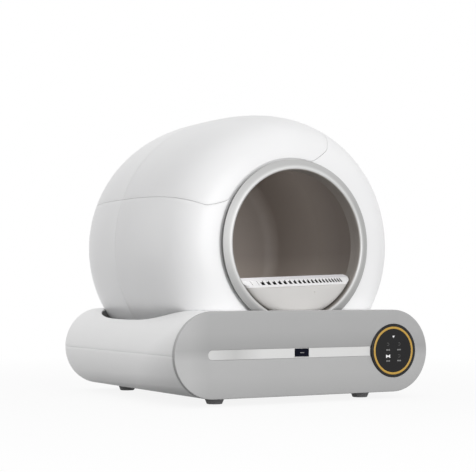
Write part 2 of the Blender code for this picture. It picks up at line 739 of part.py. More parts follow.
# Deck and funnel
def make_deck():
    half = BASE_WIDTH / 2 - BASE_WALL - DECK_EDGE_GAP
    deck = block(
        "deck_plate",
        (-half, back(DECK_START_SETBACK), DECK_BOTTOM),
        (half, BODY_INNER_REAR - DECK_EDGE_GAP, DECK_TOP),
        PALE,
    )
    drum_hole = block(
        "drum_hole",
        (-DECK_HOLE_HALF_WIDTH, back(DECK_HOLE_START_SETBACK), DECK_BOTTOM - OVERRUN),
        (DECK_HOLE_HALF_WIDTH, back(DECK_HOLE_END_SETBACK), DECK_TOP + OVERRUN),
    )
    gear_tip = GEAR_PITCH_RADIUS + GEAR_MODULE
    gear_half = math.sqrt(gear_tip**2 - (AXIS_HEIGHT - DECK_TOP) ** 2) + GEAR_MODULE
    gear_hole = block(
        "gear_hole",
        (-gear_half, back(DECK_HOLE_END_SETBACK) - SEAM_GAP, DECK_BOTTOM - OVERRUN),
        (
            PINION_X + PINION_TIP_RADIUS + GEARBOX_GAP,
            back(DRUM_BACK_SETBACK) + DECK_HOLE_REAR_GAP,
            DECK_TOP + OVERRUN,
        ),
    )
    cut(deck, drum_hole, gear_hole)

    top = DECK_BOTTOM - SEAT_GAP
    outer_half = DECK_HOLE_HALF_WIDTH + FUNNEL_WALL
    funnel = block(
        "waste_funnel",
        (-outer_half, back(DECK_HOLE_START_SETBACK) - FUNNEL_WALL, top - FUNNEL_DROP),
        (outer_half, back(BIN_END_SETBACK), top),
        PALE,
    )
    throat = block(
        "funnel_throat",
        (-DECK_HOLE_HALF_WIDTH, back(DECK_HOLE_START_SETBACK), top - FUNNEL_DROP - OVERRUN),
        (DECK_HOLE_HALF_WIDTH, back(BIN_END_SETBACK) + OVERRUN, top + OVERRUN),
    )
    cut(funnel, throat)


# Globe housing
def make_globe():
    half_angle = COVER_ANGLE / 2
    opening = wedge(
        "cover_opening",
        SEAM_GAP / 2,
        DOOR_EDGE_RADIUS - SEAT_GAP,
        half_angle,
        COVER_EDGE_SHARES,
    )
    sector = wedge(
        "cover_sector",
        -SEAM_GAP / 2,
        DOOR_EDGE_RADIUS + SEAT_GAP,
        half_angle,
        COVER_EDGE_SHARES,
    )
    for tool in (opening, sector):
        roll(tool, COVER_TILT)
    wide = BASE_WIDTH
    below_deck = block(
        "below_deck",
        (-wide, FRONT - OVERRUN, -OVERRUN),
        (wide, REAR + OVERRUN, DECK_TOP + SEAT_GAP),
    )
    joint_outer = globe_radius_at(GLOBE_JOINT_SETBACK, 0.0)
    joint_inner = globe_radius_at(GLOBE_JOINT_SETBACK, GLOBE_WALL)
    joint_front = back(GLOBE_JOINT_SETBACK) - SEAT_GAP / 2
    joint_rear = back(GLOBE_JOINT_SETBACK) + SEAT_GAP / 2
    outer_front = globe_front(0.0, DOOR_SETBACK, SHELL_STEPS)
    inner_front = globe_front(GLOBE_WALL, FLANGE_BACK_SETBACK, LINING_STEPS)

    profile = front_before(outer_front, GLOBE_JOINT_SETBACK)
    profile.extend([(joint_outer, joint_front), (joint_inner, joint_front)])
    profile.extend(reversed(front_before(inner_front, GLOBE_JOINT_SETBACK)))
    profile.extend(flange_points())
    front_shell = turned("globe_front_shell", profile, GLOBE_STEPS, WHITE)
    cut(front_shell, opening, below_deck)
    keep(turned("globe_cover_front", profile, GLOBE_STEPS, WHITE), sector)

    inner_rear = globe_rear(GLOBE_WALL, LINING_STEPS)
    outer_rear = globe_rear(0.0, LINING_STEPS)
    profile = [(0.0, inner_rear[-1][1])]
    profile.extend(reversed(inner_rear))
    profile.extend([(joint_inner, joint_rear), (joint_outer, joint_rear)])
    profile.extend(outer_rear)
    profile.append((0.0, outer_rear[-1][1]))
    rear_shell = turned("globe_rear_shell", profile, GLOBE_STEPS, WHITE, closed=False)
    cut(rear_shell, opening, below_deck)
    keep(turned("globe_cover_rear", profile, GLOBE_STEPS, WHITE, closed=False), sector)


def make_door():
    middle = (RING_OUTER + RING_INNER) / 2
    half = (RING_OUTER - RING_INNER) / 2
    seat = back(FLANGE_SETBACK) - SEAT_GAP
    profile = []
    for step in range(2 * ROUND_STEPS + 1):
        angle = math.pi * (1 - step / (2 * ROUND_STEPS))
        outward = (1 + math.cos(angle)) / 2
        edge = RING_LIP_SETBACK + (RING_EDGE_SETBACK - RING_LIP_SETBACK) * outward
        profile.append((middle + half * math.cos(angle), back(edge) - RING_CREST * math.sin(angle)))
    profile.extend([(RING_OUTER - RING_UNDERCUT, seat), (RING_INNER, seat)])
    turned("entry_ring", profile, RING_STEPS, SILVER)

    outer = RING_INNER + TUNNEL_WALL
    flange_front = back(FLANGE_BACK_SETBACK) + SEAT_GAP
    flange_back = flange_front + TUNNEL_WALL
    profile = [
        (outer, seat + SEAT_GAP),
        (outer, flange_front),
        (TUNNEL_FLANGE_RADIUS, flange_front),
        (TUNNEL_FLANGE_RADIUS, flange_back),
        (outer, flange_back),
        (outer, back(TUNNEL_END_SETBACK)),
        (RING_INNER, back(TUNNEL_END_SETBACK)),
        (RING_INNER, seat + SEAT_GAP),
    ]
    turned("entry_tunnel", profile, RING_STEPS, GREY)


# Drum
def corner(radius, y, rounding, towards, steps=ROUND_STEPS):
    """A rounded corner from a flat end, at y, out to the drum's side, as (radius, y) points."""
    points = []
    for step in range(steps + 1):
        angle = step / steps * math.pi / 2
        points.append(
            (
                radius - rounding * (1 - math.sin(angle)),
                y + towards * rounding * (1 - math.cos(angle)),
            )
        )
    return points


def drum_inner(shrink):
    """The drum's lining from its mouth to its back wall, drawn in by a clearance."""
    radius = DRUM_RADIUS - DRUM_WALL - shrink
    front = back(DRUM_MOUTH_SETBACK) + DRUM_WALL + shrink
    rear = back(DRUM_BACK_SETBACK) - DRUM_WALL - shrink
    points = corner(radius, front, DRUM_FRONT_ROUND - DRUM_WALL, 1)
    points.extend(reversed(corner(radius, rear, DRUM_BACK_ROUND - DRUM_WALL, -1)))
    return points


def make_drum():
    front = back(DRUM_MOUTH_SETBACK)
    rear = back(DRUM_BACK_SETBACK)
    joint = back(DRUM_JOINT_SETBACK)
    inner_radius = DRUM_RADIUS - DRUM_WALL
    lining = drum_inner(0.0)
    half_count = len(lining) // 2

    profile = [(DRUM_MOUTH_RADIUS, front)]
    profile.extend(corner(DRUM_RADIUS, front, DRUM_FRONT_ROUND, 1))
    profile.extend([(DRUM_RADIUS, joint - SEAT_GAP / 2), (inner_radius, joint - SEAT_GAP / 2)])
    profile.extend(reversed(lining[:half_count]))
    profile.append((DRUM_MOUTH_RADIUS, front + DRUM_WALL))
    turned("drum_front_shell", profile, DRUM_STEPS, DRUM_GREY)

    profile = [(0.0, rear - DRUM_WALL)]
    profile.extend(reversed(lining[half_count:]))
    profile.extend([(inner_radius, joint + SEAT_GAP / 2), (DRUM_RADIUS, joint + SEAT_GAP / 2)])
    profile.extend(reversed(corner(DRUM_RADIUS, rear, DRUM_BACK_ROUND, -1)))
    profile.append((0.0, rear))
    rear_shell = turned("drum_rear_shell", profile, DRUM_STEPS, DRUM_GREY, closed=False)
    port = block(
        "waste_port",
        (-PORT_HALF_WIDTH, back(PORT_START_SETBACK), AXIS_HEIGHT + SIEVE_HEIGHT),
        (PORT_HALF_WIDTH, back(PORT_END_SETBACK), AXIS_HEIGHT + GLOBE_RADIUS),
    )
    cut(rear_shell, port)

    room = drum_inner(SEAT_GAP)
    room.insert(0, (0.0, room[0][1]))
    room.append((0.0, room[-1][1]))
    space = turned("drum_space", room, DRUM_STEPS, closed=False)
    low = AXIS_HEIGHT + SIEVE_HEIGHT
    sieve = block(
        "sieve_screen",
        (-DRUM_RADIUS, front, low),
        (SIEVE_END, rear, low + SIEVE_THICK),
        WHITE,
    )
    roll(sieve, COVER_TILT)
    slots_start = front + SIEVE_SLOT_START
    slot_length = (rear - SIEVE_SLOT_END_MARGIN - slots_start - SIEVE_SLOT_RIB) / 2
    for column in range(SIEVE_SLOTS):
        left = SIEVE_END - SIEVE_FIRST_SLOT - column * SIEVE_SLOT_PITCH
        for row in range(2):
            start = slots_start + row * (slot_length + SIEVE_SLOT_RIB)
            slot = block(
                f"sieve_slot_{column}_{row}",
                (left - SIEVE_SLOT_WIDTH, start, low - OVERRUN),
                (left, start + slot_length, low + SIEVE_THICK + OVERRUN),
            )
            roll(slot, COVER_TILT)
            cut(sieve, slot)
    keep(sieve, space)
    divider = block(
        "pocket_divider",
        (SIEVE_END - SIEVE_THICK, front, low + SIEVE_THICK + SEAT_GAP),
        (SIEVE_END, rear, AXIS_HEIGHT + DRUM_RADIUS),
        WHITE,
    )
    roll(divider, COVER_TILT)
    keep(divider, space)

    outer = inner_radius - SEAT_GAP
    start = front + LINER_START
    end = rear - LINER_END_MARGIN
    profile = [(outer, start), (outer, end), (outer - LINER_THICK, end), (outer - LINER_THICK, start)]
    liner = turned("litter_liner", profile, DRUM_STEPS, LINER_GREY)
    bed = wedge("liner_sector", 0.0, SIEVE_HEIGHT, LINER_HALF_ANGLE, LINER_EDGE_SHARES)
    roll(bed, math.pi)
    keep(liner, bed)


# Step guard
def guard_profile(shrink):
    """The guard's front from the axis out to its round edge, as (radius, y) points."""
    radius = GUARD_RADIUS - shrink
    steps = 2 * ROUND_STEPS
    points = []
    for step in range(steps + 1):
        share = eased(step, steps)
        dome = GUARD_BULGE * superellipse(share, 1, GUARD_DOME_SHARES)
        points.append((radius * share, back(GUARD_EDGE_SETBACK) - dome + shrink))
    return points


def guard_below(name, drop, reach):
    """All that lies under the guard's sloped top, lowered by drop, back to a given reach."""
    top = GUARD_TOP - drop
    fall = math.tan(GUARD_SLOPE) * (GUARD_TOP_SETBACK + OVERRUN)
    outline = [
        (back(0.0) - OVERRUN, top - fall),
        (back(GUARD_TOP_SETBACK), top),
        (back(reach), top),
        (back(reach), AXIS_HEIGHT - DRUM_RADIUS),
        (back(0.0) - OVERRUN, AXIS_HEIGHT - DRUM_RADIUS),
    ]
    below = prism(name, outline, -GUARD_RADIUS - OVERRUN, GUARD_RADIUS + OVERRUN, axis="X")
    return roll(below, GUARD_ROLL)


def guard_corners(name, shrink):
    """A round cornered space that takes the points off the guard's top left and top right."""
    half = math.sqrt(GUARD_RADIUS**2 - (AXIS_HEIGHT - GUARD_TOP) ** 2) - shrink
    corners = block(
        name,
        (-half, FRONT - OVERRUN, AXIS_HEIGHT - DRUM_RADIUS),
        (half, back(GUARD_BACK_SETBACK) + 2 * OVERRUN, GUARD_TOP - shrink + SEAT_GAP),
    )
    roll(corners, GUARD_ROLL)
    return bevel(corners, GUARD_CORNER - shrink, ROUND_STEPS)


def make_guard():
    hook_radius = DRUM_MOUTH_RADIUS - SEAT_GAP
    hook_start = back(DRUM_MOUTH_SETBACK) - GUARD_HOOK_LEAD
    end = back(GUARD_BACK_SETBACK)
    profile = guard_profile(0.0)
    profile.extend([(GUARD_RADIUS, hook_start), (hook_radius, hook_start + DRUM_WALL)])
    profile.extend([(hook_radius, end), (0.0, end)])
    guard = turned("step_guard", profile, DRUM_STEPS, WHITE, closed=False)
    body = guard_below("guard_body", 0.0, GUARD_BACK_SETBACK)
    keep(guard, body, guard_corners("guard_corners", 0.0))

    profile = guard_profile(GUARD_WALL)
    inner_hook = hook_radius - GUARD_WALL
    profile.extend(
        [(GUARD_RADIUS - GUARD_WALL, hook_start), (inner_hook, hook_start + DRUM_WALL)]
    )
    profile.extend([(inner_hook, end + OVERRUN), (0.0, end + OVERRUN)])
    pocket = turned("guard_pocket", profile, DRUM_STEPS, closed=False)
    room = guard_below("guard_room", GUARD_WALL / math.cos(GUARD_SLOPE), GUARD_BACK_SETBACK + OVERRUN)
    keep(pocket, room, guard_corners("room_corners", GUARD_WALL))
    cut(guard, pocket)

    along = back(RING_EDGE_SETBACK) + GUARD_SLOT_DEPTH
    height = GUARD_TOP - math.tan(GUARD_SLOPE) * (GUARD_TOP_DEPTH - GUARD_SLOT_DEPTH)
    for index in range(GUARD_SLOTS):
        step = index / (GUARD_SLOTS - 1)
        across = GUARD_SLOTS_SPREAD_SHARE * step - (GUARD_SLOTS_SPREAD_SHARE - 1) * step**2
        slowing = GUARD_SLOTS_SPREAD_SHARE - 2 * (GUARD_SLOTS_SPREAD_SHARE - 1) * step
        pitch = GUARD_SLOTS_SPAN * slowing / (GUARD_SLOTS - 1)
        x = GUARD_SLOTS_SPAN * across - GUARD_SLOTS_LEFT
        half = GUARD_SLOT_WIDTH_SHARE * pitch / 2
        slot = block(
            f"guard_slot_{index}",
            (x - half, along - GUARD_SLOT_LENGTH / 2, height - OVERRUN),
            (x + half, along + GUARD_SLOT_LENGTH / 2, height + OVERRUN),
        )
        roll(slot, GUARD_ROLL)
        cut(guard, slot)


# Gears and drive
def gear_outline(teeth, phase, centre):
    """Straight sided teeth round a centre. A tooth points along the phase angle from straight down."""
    pitch_radius = teeth * GEAR_MODULE / 2
    half = TOOTH_THICK_SHARE * math.pi * GEAR_MODULE / 2
    tip = pitch_radius + TOOTH_ADDENDUM_SHARE * GEAR_MODULE
    root = pitch_radius - TOOTH_DEDENDUM_SHARE * GEAR_MODULE
    lean = math.tan(PRESSURE_ANGLE)
    half_tip = half - (tip - pitch_radius) * lean
    half_root = half + (pitch_radius - root) * lean
    points = []
    for tooth in range(teeth):
        middle = phase + 2 * math.pi * tooth / teeth
        for radius, offset in (
            (root, -half_root),
            (tip, -half_tip),
            (tip, half_tip),
            (root, half_root),
        ):
            angle = middle + offset / radius
            points.append(
                (centre[0] + radius * math.sin(angle), centre[1] - radius * math.cos(angle))
            )
    return points


def make_drive():
    start = back(GEAR_SETBACK)
    end = start + GEAR_WIDTH
    half_tooth = math.pi / GEAR_TEETH
    outline = gear_outline(GEAR_TEETH, PINION_ANGLE + half_tooth, (0.0, AXIS_HEIGHT))
    ring_gear = prism("ring_gear", outline, start, end, ACETAL)
    seat = rod(
        "gear_seat",
        (0.0, AXIS_HEIGHT),
        DRUM_RADIUS + SEAT_GAP,
        start - OVERRUN,
        end + OVERRUN,
        DRUM_STEPS,
    )
    cut(ring_gear, seat)

    centre = (PINION_X, PINION_Z)
    outline = gear_outline(PINION_TEETH, PINION_ANGLE + math.pi, centre)
    pinion = prism("drive_pinion", outline, start, end, ACETAL)
    shaft = rod(
        "pinion_shaft",
        centre,
        PINION_SHAFT_RADIUS,
        end - GEAR_WIDTH / 2,
        end + PINION_SHAFT_REACH,
        SMALL_STEPS,
    )
    join(pinion, shaft)

    case_start = end + GEARBOX_GAP
    case_end = case_start + GEARBOX_DEPTH
    case = block(
        "gearbox_case",
        (PINION_X - GEARBOX_LEFT, case_start, PINION_Z - GEARBOX_BELOW),
        (GEARBOX_END, case_end, PINION_Z + GEARBOX_ABOVE),
        GREY,
    )
    bevel(case, GEARBOX_ROUND)
    bore = rod(
        "shaft_bore",
        centre,
        PINION_SHAFT_RADIUS + SHAFT_CLEARANCE,
        case_start - OVERRUN,
        case_start + SHAFT_BORE_DEPTH,
        SMALL_STEPS,
    )
    cut(case, bore)

    motor_end = case_start - SEAT_GAP
    motor = rod(
        "motor_can",
        (MOTOR_X, PINION_Z),
        MOTOR_RADIUS,
        motor_end - MOTOR_LENGTH,
        motor_end,
        PART_STEPS,
        STEEL,
    )
    boss = rod(
        "motor_boss",
        (MOTOR_X, PINION_Z),
        MOTOR_BOSS_RADIUS,
        motor_end - MOTOR_LENGTH - MOTOR_BOSS_LENGTH,
        motor_end - MOTOR_LENGTH / 2,
        SMALL_STEPS,
    )
    join(motor, boss)
    smooth(motor)

    plate_start = case_end + SEAT_GAP
    plate_end = plate_start + MOTOR_PLATE
    low = FLOOR_TOP + SEAT_GAP
    plate = block(
        "motor_bracket",
        (PINION_X - GEARBOX_LEFT, plate_start, low),
        (GEARBOX_END, plate_end, PINION_Z + GEARBOX_ABOVE),
        STEEL,
    )
    foot = block(
        "bracket_foot",
        (PINION_X - GEARBOX_LEFT, plate_start, low),
        (GEARBOX_END, plate_end + MOTOR_PLATE_FOOT, low + MOTOR_PLATE),
    )
    join(plate, foot)


# Rollers
def make_rollers():
    distance = DRUM_RADIUS + ROLLER_RADIUS + SEAT_GAP
    z = DECK_TOP + SEAT_GAP + BRACKET_BASE + ROLLER_FOOT_GAP + ROLLER_RADIUS
    x = math.sqrt(distance**2 - (AXIS_HEIGHT - z) ** 2)
    for side, label in ((-1, "left"), (1, "right")):
        for place, setback in zip(("front", "rear"), ROLLER_SETBACKS):
            middle = back(setback)
            start = middle - ROLLER_WIDTH / 2
            end = middle + ROLLER_WIDTH / 2
            bore = AXLE_RADIUS + SEAT_GAP
            profile = [
                (ROLLER_RADIUS - ROLLER_CHAMFER, start),
                (ROLLER_RADIUS, start + ROLLER_CHAMFER),
                (ROLLER_RADIUS, end - ROLLER_CHAMFER),
                (ROLLER_RADIUS - ROLLER_CHAMFER, end),
                (bore, end),
                (bore, start),
            ]
            turned(f"roller_{place}_{label}", profile, PART_STEPS, RUBBER, (side * x, z))
            low = DECK_TOP + SEAT_GAP
            cheek_start = start - RUN_GAP - BRACKET_CHEEK
            cheek_end = end + RUN_GAP + BRACKET_CHEEK
            bracket = block(
                f"roller_bracket_{place}_{label}",
                (side * x - BRACKET_FOOT_HALF_WIDTH, cheek_start, low),
                (side * x + BRACKET_FOOT_HALF_WIDTH, cheek_end, low + BRACKET_BASE),
                ACETAL,
            )
            for cheek in (cheek_start, end + RUN_GAP):
                wall = block(
                    "bracket_cheek",
                    (side * x - BRACKET_HALF_WIDTH, cheek, low + BRACKET_BASE / 2),
                    (side * x + BRACKET_HALF_WIDTH, cheek + BRACKET_CHEEK, z + BRACKET_ABOVE_AXLE),
                )
                join(bracket, wall)
            axle = rod(
                "roller_axle",
                (side * x, z),
                AXLE_RADIUS,
                cheek_start + BRACKET_CHEEK / 2,
                cheek_end - BRACKET_CHEEK / 2,
                SMALL_STEPS,
            )
            join(bracket, axle)


# Drawer
def make_drawer():
    start = PANEL_BACK + SEAT_GAP
    end = back(BIN_END_SETBACK)
    waste_bin = block(
        "waste_bin", (-BIN_HALF_WIDTH, start, BIN_BOTTOM), (BIN_HALF_WIDTH, end, BIN_TOP), GREY
    )
    rim_half = BIN_HALF_WIDTH + BIN_RIM
    rim = block(
        "bin_rim",
        (-rim_half, back(BIN_RIM_START_SETBACK), BIN_TOP - BIN_RIM_THICK),
        (rim_half, end + BIN_RIM / 2, BIN_TOP),
    )
    inside = block(
        "bin_inside",
        (-BIN_HALF_WIDTH + BIN_WALL, start + BIN_WALL, BIN_BOTTOM + BIN_WALL),
        (BIN_HALF_WIDTH - BIN_WALL, end - BIN_WALL, BIN_TOP + OVERRUN),
    )
    bevel(inside, BIN_ROUND)
    join(waste_bin, rim)
    cut(waste_bin, inside)

    rail_top = BIN_TOP - BIN_RIM_THICK - SEAT_GAP
    rail_outer = BAY_HALF_WIDTH - SEAT_GAP
    rail_inner = (BIN_HALF_WIDTH + rail_outer) / 2 - SEAM_GAP
    for side, label in ((-1, "left"), (1, "right")):
        edges = sorted((side * rail_inner, side * rail_outer))
        block(
            f"bin_rail_{label}",
            (edges[0], back(BIN_RIM_START_SETBACK), rail_top - RAIL_HEIGHT),
            (edges[1], end, rail_top),
            STEEL,
        )


def dish_depth(radius):
    """How far the panel's face lies behind its rim, at an outline drawn in to this radius."""
    drawn_in = (END_RADIUS - PANEL_EDGE - radius) / (END_RADIUS - PANEL_EDGE - STRIP_RADIUS)
    return DISH_DEPTH * drawn_in**2


def make_front():
    face_radius = END_RADIUS - PANEL_EDGE
    rings = [(END_RADIUS, PANEL_BACK), (END_RADIUS, FRONT + PANEL_EDGE), (face_radius, FRONT)]
    for step in range(1, DISH_STEPS + 1):
        radius = face_radius + (STRIP_RADIUS + SEAT_GAP - face_radius) * step / DISH_STEPS
        rings.append((radius, FRONT + dish_depth(radius)))
    strip_front = FRONT + DISH_DEPTH + STRIP_SINK
    strip_back = strip_front + STRIP_THICK
    rings.append((STRIP_RADIUS + SEAT_GAP, strip_back + SEAT_GAP))
    panel = lofted("front_panel", rings, GREY)
    pod_hole = rod(
        "pod_hole",
        (STRAIGHT_HALF, BODY_MID),
        POD_RADIUS + RUN_GAP,
        FRONT - OVERRUN,
        PANEL_BACK + OVERRUN,
        PART_STEPS * 2,
    )
    window_top = BODY_MID + STRIP_RADIUS
    window_hole = block(
        "window_hole",
        (WINDOW_LEFT - RUN_GAP, FRONT - OVERRUN, BODY_MID - WINDOW_DROP - RUN_GAP),
        (WINDOW_RIGHT + RUN_GAP, PANEL_BACK + OVERRUN, window_top + RUN_GAP),
    )
    cut(panel, pod_hole, window_hole)

    rings = [
        (STRIP_RADIUS, strip_back),
        (STRIP_RADIUS, strip_front + STRIP_EDGE),
        (STRIP_RADIUS - STRIP_EDGE, strip_front),
    ]
    strip = lofted("strip_trim", rings, WHITE)
    right_of_pod = block(
        "right_of_pod",
        (STRAIGHT_HALF, FRONT - OVERRUN, BODY_MID - END_RADIUS),
        (BASE_WIDTH, PANEL_BACK + OVERRUN, BODY_MID + END_RADIUS),
    )
    strip_window_hole = block(
        "strip_window_hole",
        (WINDOW_LEFT - RUN_GAP, FRONT - OVERRUN, BODY_MID - WINDOW_DROP - RUN_GAP),
        (WINDOW_RIGHT + RUN_GAP, PANEL_BACK + OVERRUN, window_top - STRIP_EDGE * 2),
    )
    cut(strip, pod_hole, right_of_pod, strip_window_hole)

    window = block(
        "sensor_window",
        (WINDOW_LEFT, strip_front - WINDOW_PROUD, BODY_MID - WINDOW_DROP),
        (WINDOW_RIGHT, BODY_FRONT - SEAT_GAP, window_top - STRIP_EDGE * 3),
        GLASS,
    )
    bevel(window, WINDOW_ROUND / 2)
    block(
        "sensor_board",
        (
            SENSOR_BOARD_X - SENSOR_BOARD_WIDTH / 2,
            BODY_INNER_FRONT + SEAT_GAP,
            BODY_MID - SENSOR_BOARD_DROP,
        ),
        (
            SENSOR_BOARD_X + SENSOR_BOARD_WIDTH / 2,
            BODY_INNER_FRONT + SEAT_GAP + BOARD_THICK,
            BODY_MID - SENSOR_BOARD_DROP + SENSOR_BOARD_HEIGHT,
        ),
        BOARD,
    )


def make_pod():
    centre = (STRAIGHT_HALF, BODY_MID)
    face = FRONT + POD_SINK
    seat = BODY_FRONT - SEAT_GAP
    bezel = LIGHT_OUTER + SEAT_GAP
    floor = face + LIGHT_DEPTH + SEAT_GAP
    profile = [
        (0.0, floor),
        (bezel, floor),
        (bezel, face),
        (POD_RADIUS - POD_EDGE, face),
        (POD_RADIUS, face + POD_EDGE),
        (POD_RADIUS, seat),
        (0.0, seat),
    ]
    turned("control_pod", profile, PART_STEPS * 2, BLACK, centre, closed=False)
    profile = [
        (LIGHT_OUTER, face + GLASS_SINK),
        (LIGHT_OUTER, floor - SEAT_GAP),
        (LIGHT_INNER, floor - SEAT_GAP),
        (LIGHT_INNER, face + GLASS_SINK),
    ]
    turned("light_ring", profile, PART_STEPS * 2, AMBER, centre)
    rod(
        "touch_glass",
        centre,
        LIGHT_INNER - SEAT_GAP,
        face + GLASS_SINK,
        floor - SEAT_GAP,
        PART_STEPS * 2,
        GLASS,
    )
    rod(
        "control_board",
        centre,
        CONTROL_BOARD_RADIUS,
        BODY_INNER_FRONT + SEAT_GAP,
        BODY_INNER_FRONT + SEAT_GAP + BOARD_THICK,
        PART_STEPS,
        BOARD,
    )


# Electronics at the left and the inlet at the rear
def add_chip(board, name, shares, width, length, height):
    """Sets a component on the main board, with its middle at shares of the board's width and length."""
    left, start, right, end = main_board_edges()
    top = FLOOR_TOP + MAIN_BOARD_LIFT + BOARD_THICK
    x = left + (right - left) * shares[0]
    y = start + (end - start) * shares[1]
    chip = block(
        name,
        (x - width / 2, y - length / 2, top - BOARD_THICK / 2),
        (x + width / 2, y + length / 2, top + height),
    )
    join(board, chip)


def make_electronics():
    left, start, right, end = main_board_edges()
    bottom = FLOOR_TOP + MAIN_BOARD_LIFT
    board = block(
        "main_board", (left, start, bottom), (right, end, bottom + BOARD_THICK), BOARD
    )
    add_chip(board, "processor", PROCESSOR_SHARES, CHIP_WIDTH, CHIP_WIDTH, CHIP_HEIGHT)
    add_chip(board, "driver", DRIVER_SHARES, CHIP_WIDTH, CHIP_WIDTH, CHIP_HEIGHT)
    add_chip(board, "power_relay", POWER_RELAY_SHARES, RELAY_WIDTH, RELAY_LENGTH, RELAY_HEIGHT)
    add_chip(board, "motor_relay", MOTOR_RELAY_SHARES, RELAY_WIDTH, RELAY_LENGTH, RELAY_HEIGHT)

    inlet = block(
        "power_inlet",
        (INLET_X - INLET_HALF, REAR - INLET_LENGTH, INLET_Z - INLET_HALF),
        (INLET_X + INLET_HALF, REAR, INLET_Z + INLET_HALF),
        BLACK,
    )
    reach = INLET_HALF + INLET_FLANGE
    flange_back = BODY_INNER_REAR - SEAT_GAP
    flange = block(
        "inlet_flange",
        (INLET_X - reach, flange_back - INLET_FLANGE_THICK, INLET_Z - reach),
        (INLET_X + reach, flange_back, INLET_Z + reach),
    )
    join(inlet, flange)
    bore = rod(
        "inlet_bore",
        (INLET_X, INLET_Z),
        INLET_BORE_RADIUS,
        REAR - INLET_BORE_DEPTH,
        REAR + OVERRUN,
        SMALL_STEPS,
    )
    cut(inlet, bore)


# Joint axes
def hang(names, axis_name, location):
    """Puts an empty on a joint's axis and parents the moving pieces to it where they stand."""
    empty = bpy.data.objects.new(axis_name, None)
    empty.location = location
    PARTS.objects.link(empty)
    for name in names:
        piece = bpy.data.objects[name]
        piece.parent = empty
        piece.matrix_parent_inverse = Matrix.Translation(location).inverted()


def make_axes():
    drum_pieces = (
        "drum_front_shell",
        "drum_rear_shell",
        "ring_gear",
        "sieve_screen",
        "pocket_divider",
        "litter_liner",
        "step_guard",
    )
    hang(drum_pieces, "drum_axis", AXIS)
    hang(("drive_pinion",), "pinion_axis", Vector((PINION_X, back(GEAR_SETBACK), PINION_Z)))
    hang(("front_panel", "strip_trim", "waste_bin"), "drawer_slide", Vector((0.0, FRONT, BODY_MID)))
    hang(("globe_cover_front", "globe_cover_rear"), "cover_slide", AXIS)


make_base()
make_deck()
make_globe()
make_door()
make_drum()
make_guard()
make_drive()
make_rollers()
make_drawer()
make_front()
make_pod()
make_electronics()
make_axes()
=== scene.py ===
"""Looks of the self cleaning litter box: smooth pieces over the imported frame, and a plain studio.

Metres, in the frame's own axes. The door faces -Y, and a setback is a depth behind the front panel.
"""

import json
import math

import bmesh
import bpy
from mathutils import Matrix, Vector


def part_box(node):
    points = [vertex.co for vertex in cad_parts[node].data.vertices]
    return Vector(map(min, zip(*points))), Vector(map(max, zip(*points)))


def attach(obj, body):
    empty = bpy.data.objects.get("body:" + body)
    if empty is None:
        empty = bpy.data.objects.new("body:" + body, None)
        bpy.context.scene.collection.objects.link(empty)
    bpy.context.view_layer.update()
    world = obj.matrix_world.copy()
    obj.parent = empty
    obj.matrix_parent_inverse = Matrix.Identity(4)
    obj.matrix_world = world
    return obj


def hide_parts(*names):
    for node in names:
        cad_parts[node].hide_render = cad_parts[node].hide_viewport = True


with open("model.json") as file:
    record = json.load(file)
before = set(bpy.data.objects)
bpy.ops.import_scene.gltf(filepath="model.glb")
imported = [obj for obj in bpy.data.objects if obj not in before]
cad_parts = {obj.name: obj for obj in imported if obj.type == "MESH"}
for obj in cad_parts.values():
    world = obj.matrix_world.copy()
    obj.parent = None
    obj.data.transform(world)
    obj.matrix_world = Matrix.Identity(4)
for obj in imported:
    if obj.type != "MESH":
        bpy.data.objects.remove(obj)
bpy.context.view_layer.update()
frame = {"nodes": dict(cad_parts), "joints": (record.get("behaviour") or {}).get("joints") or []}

# Camera, fitted to the photograph
PHOTO_WIDTH = 476
FOCAL_PIXELS = 1319.5
SENSOR_WIDTH = 36.0
CAMERA_PLACE = Vector((-1.3370, -2.3715, 0.2124))
CAMERA_YAW = math.radians(29.34)
CAMERA_PITCH = math.radians(2.336)

# Places read from the frame
PANEL_LOW, PANEL_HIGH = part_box("front_panel")
BASE_LOW, BASE_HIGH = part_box("base_lower_shell")
DECK_LOW, DECK_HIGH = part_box("deck_plate")
DECK_TOP = DECK_HIGH.z
BIN_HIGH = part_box("waste_bin")[1]
BOARD_LOW, BOARD_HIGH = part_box("main_board")
POD_LOW, POD_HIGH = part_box("control_pod")
STRIP_LOW, STRIP_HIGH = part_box("strip_trim")
WINDOW_LOW, WINDOW_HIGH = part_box("sensor_window")
DRUM_LOW, DRUM_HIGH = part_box("drum_front_shell")
DRUM_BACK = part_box("drum_rear_shell")[1].y
TUNNEL_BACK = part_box("entry_tunnel")[1].y
AXIS_HEIGHT = next(j for j in frame["joints"] if j["name"] == "drum_spin")["pos_m"][2]
AXIS = Vector((0.0, 0.0, AXIS_HEIGHT))
FRONT = PANEL_LOW.y
PANEL_BACK = PANEL_HIGH.y
REAR = BASE_HIGH.y
BODY_FRONT = BASE_LOW.y
END_RADIUS = (PANEL_HIGH.z - PANEL_LOW.z) / 2
STRAIGHT_HALF = PANEL_HIGH.x - END_RADIUS
BODY_MID = (PANEL_HIGH.z + PANEL_LOW.z) / 2
BODY_TOP = PANEL_HIGH.z
DRUM_RADIUS = (DRUM_HIGH.x - DRUM_LOW.x) / 2
POD_CENTRE = Vector(((POD_LOW.x + POD_HIGH.x) / 2, 0.0, BODY_MID))
POD_RADIUS = (POD_HIGH.x - POD_LOW.x) / 2

# Clearances, as in the frame, and how far a cutter reaches past what it cuts
SEAT_GAP = 0.0003
RUN_GAP = 0.0006
OVERRUN = 0.010

# Directions
RIGHTWARD = (1.0, 0.0, 0.0)
REARWARD = (0.0, 1.0, 0.0)
UPWARD = (0.0, 0.0, 1.0)

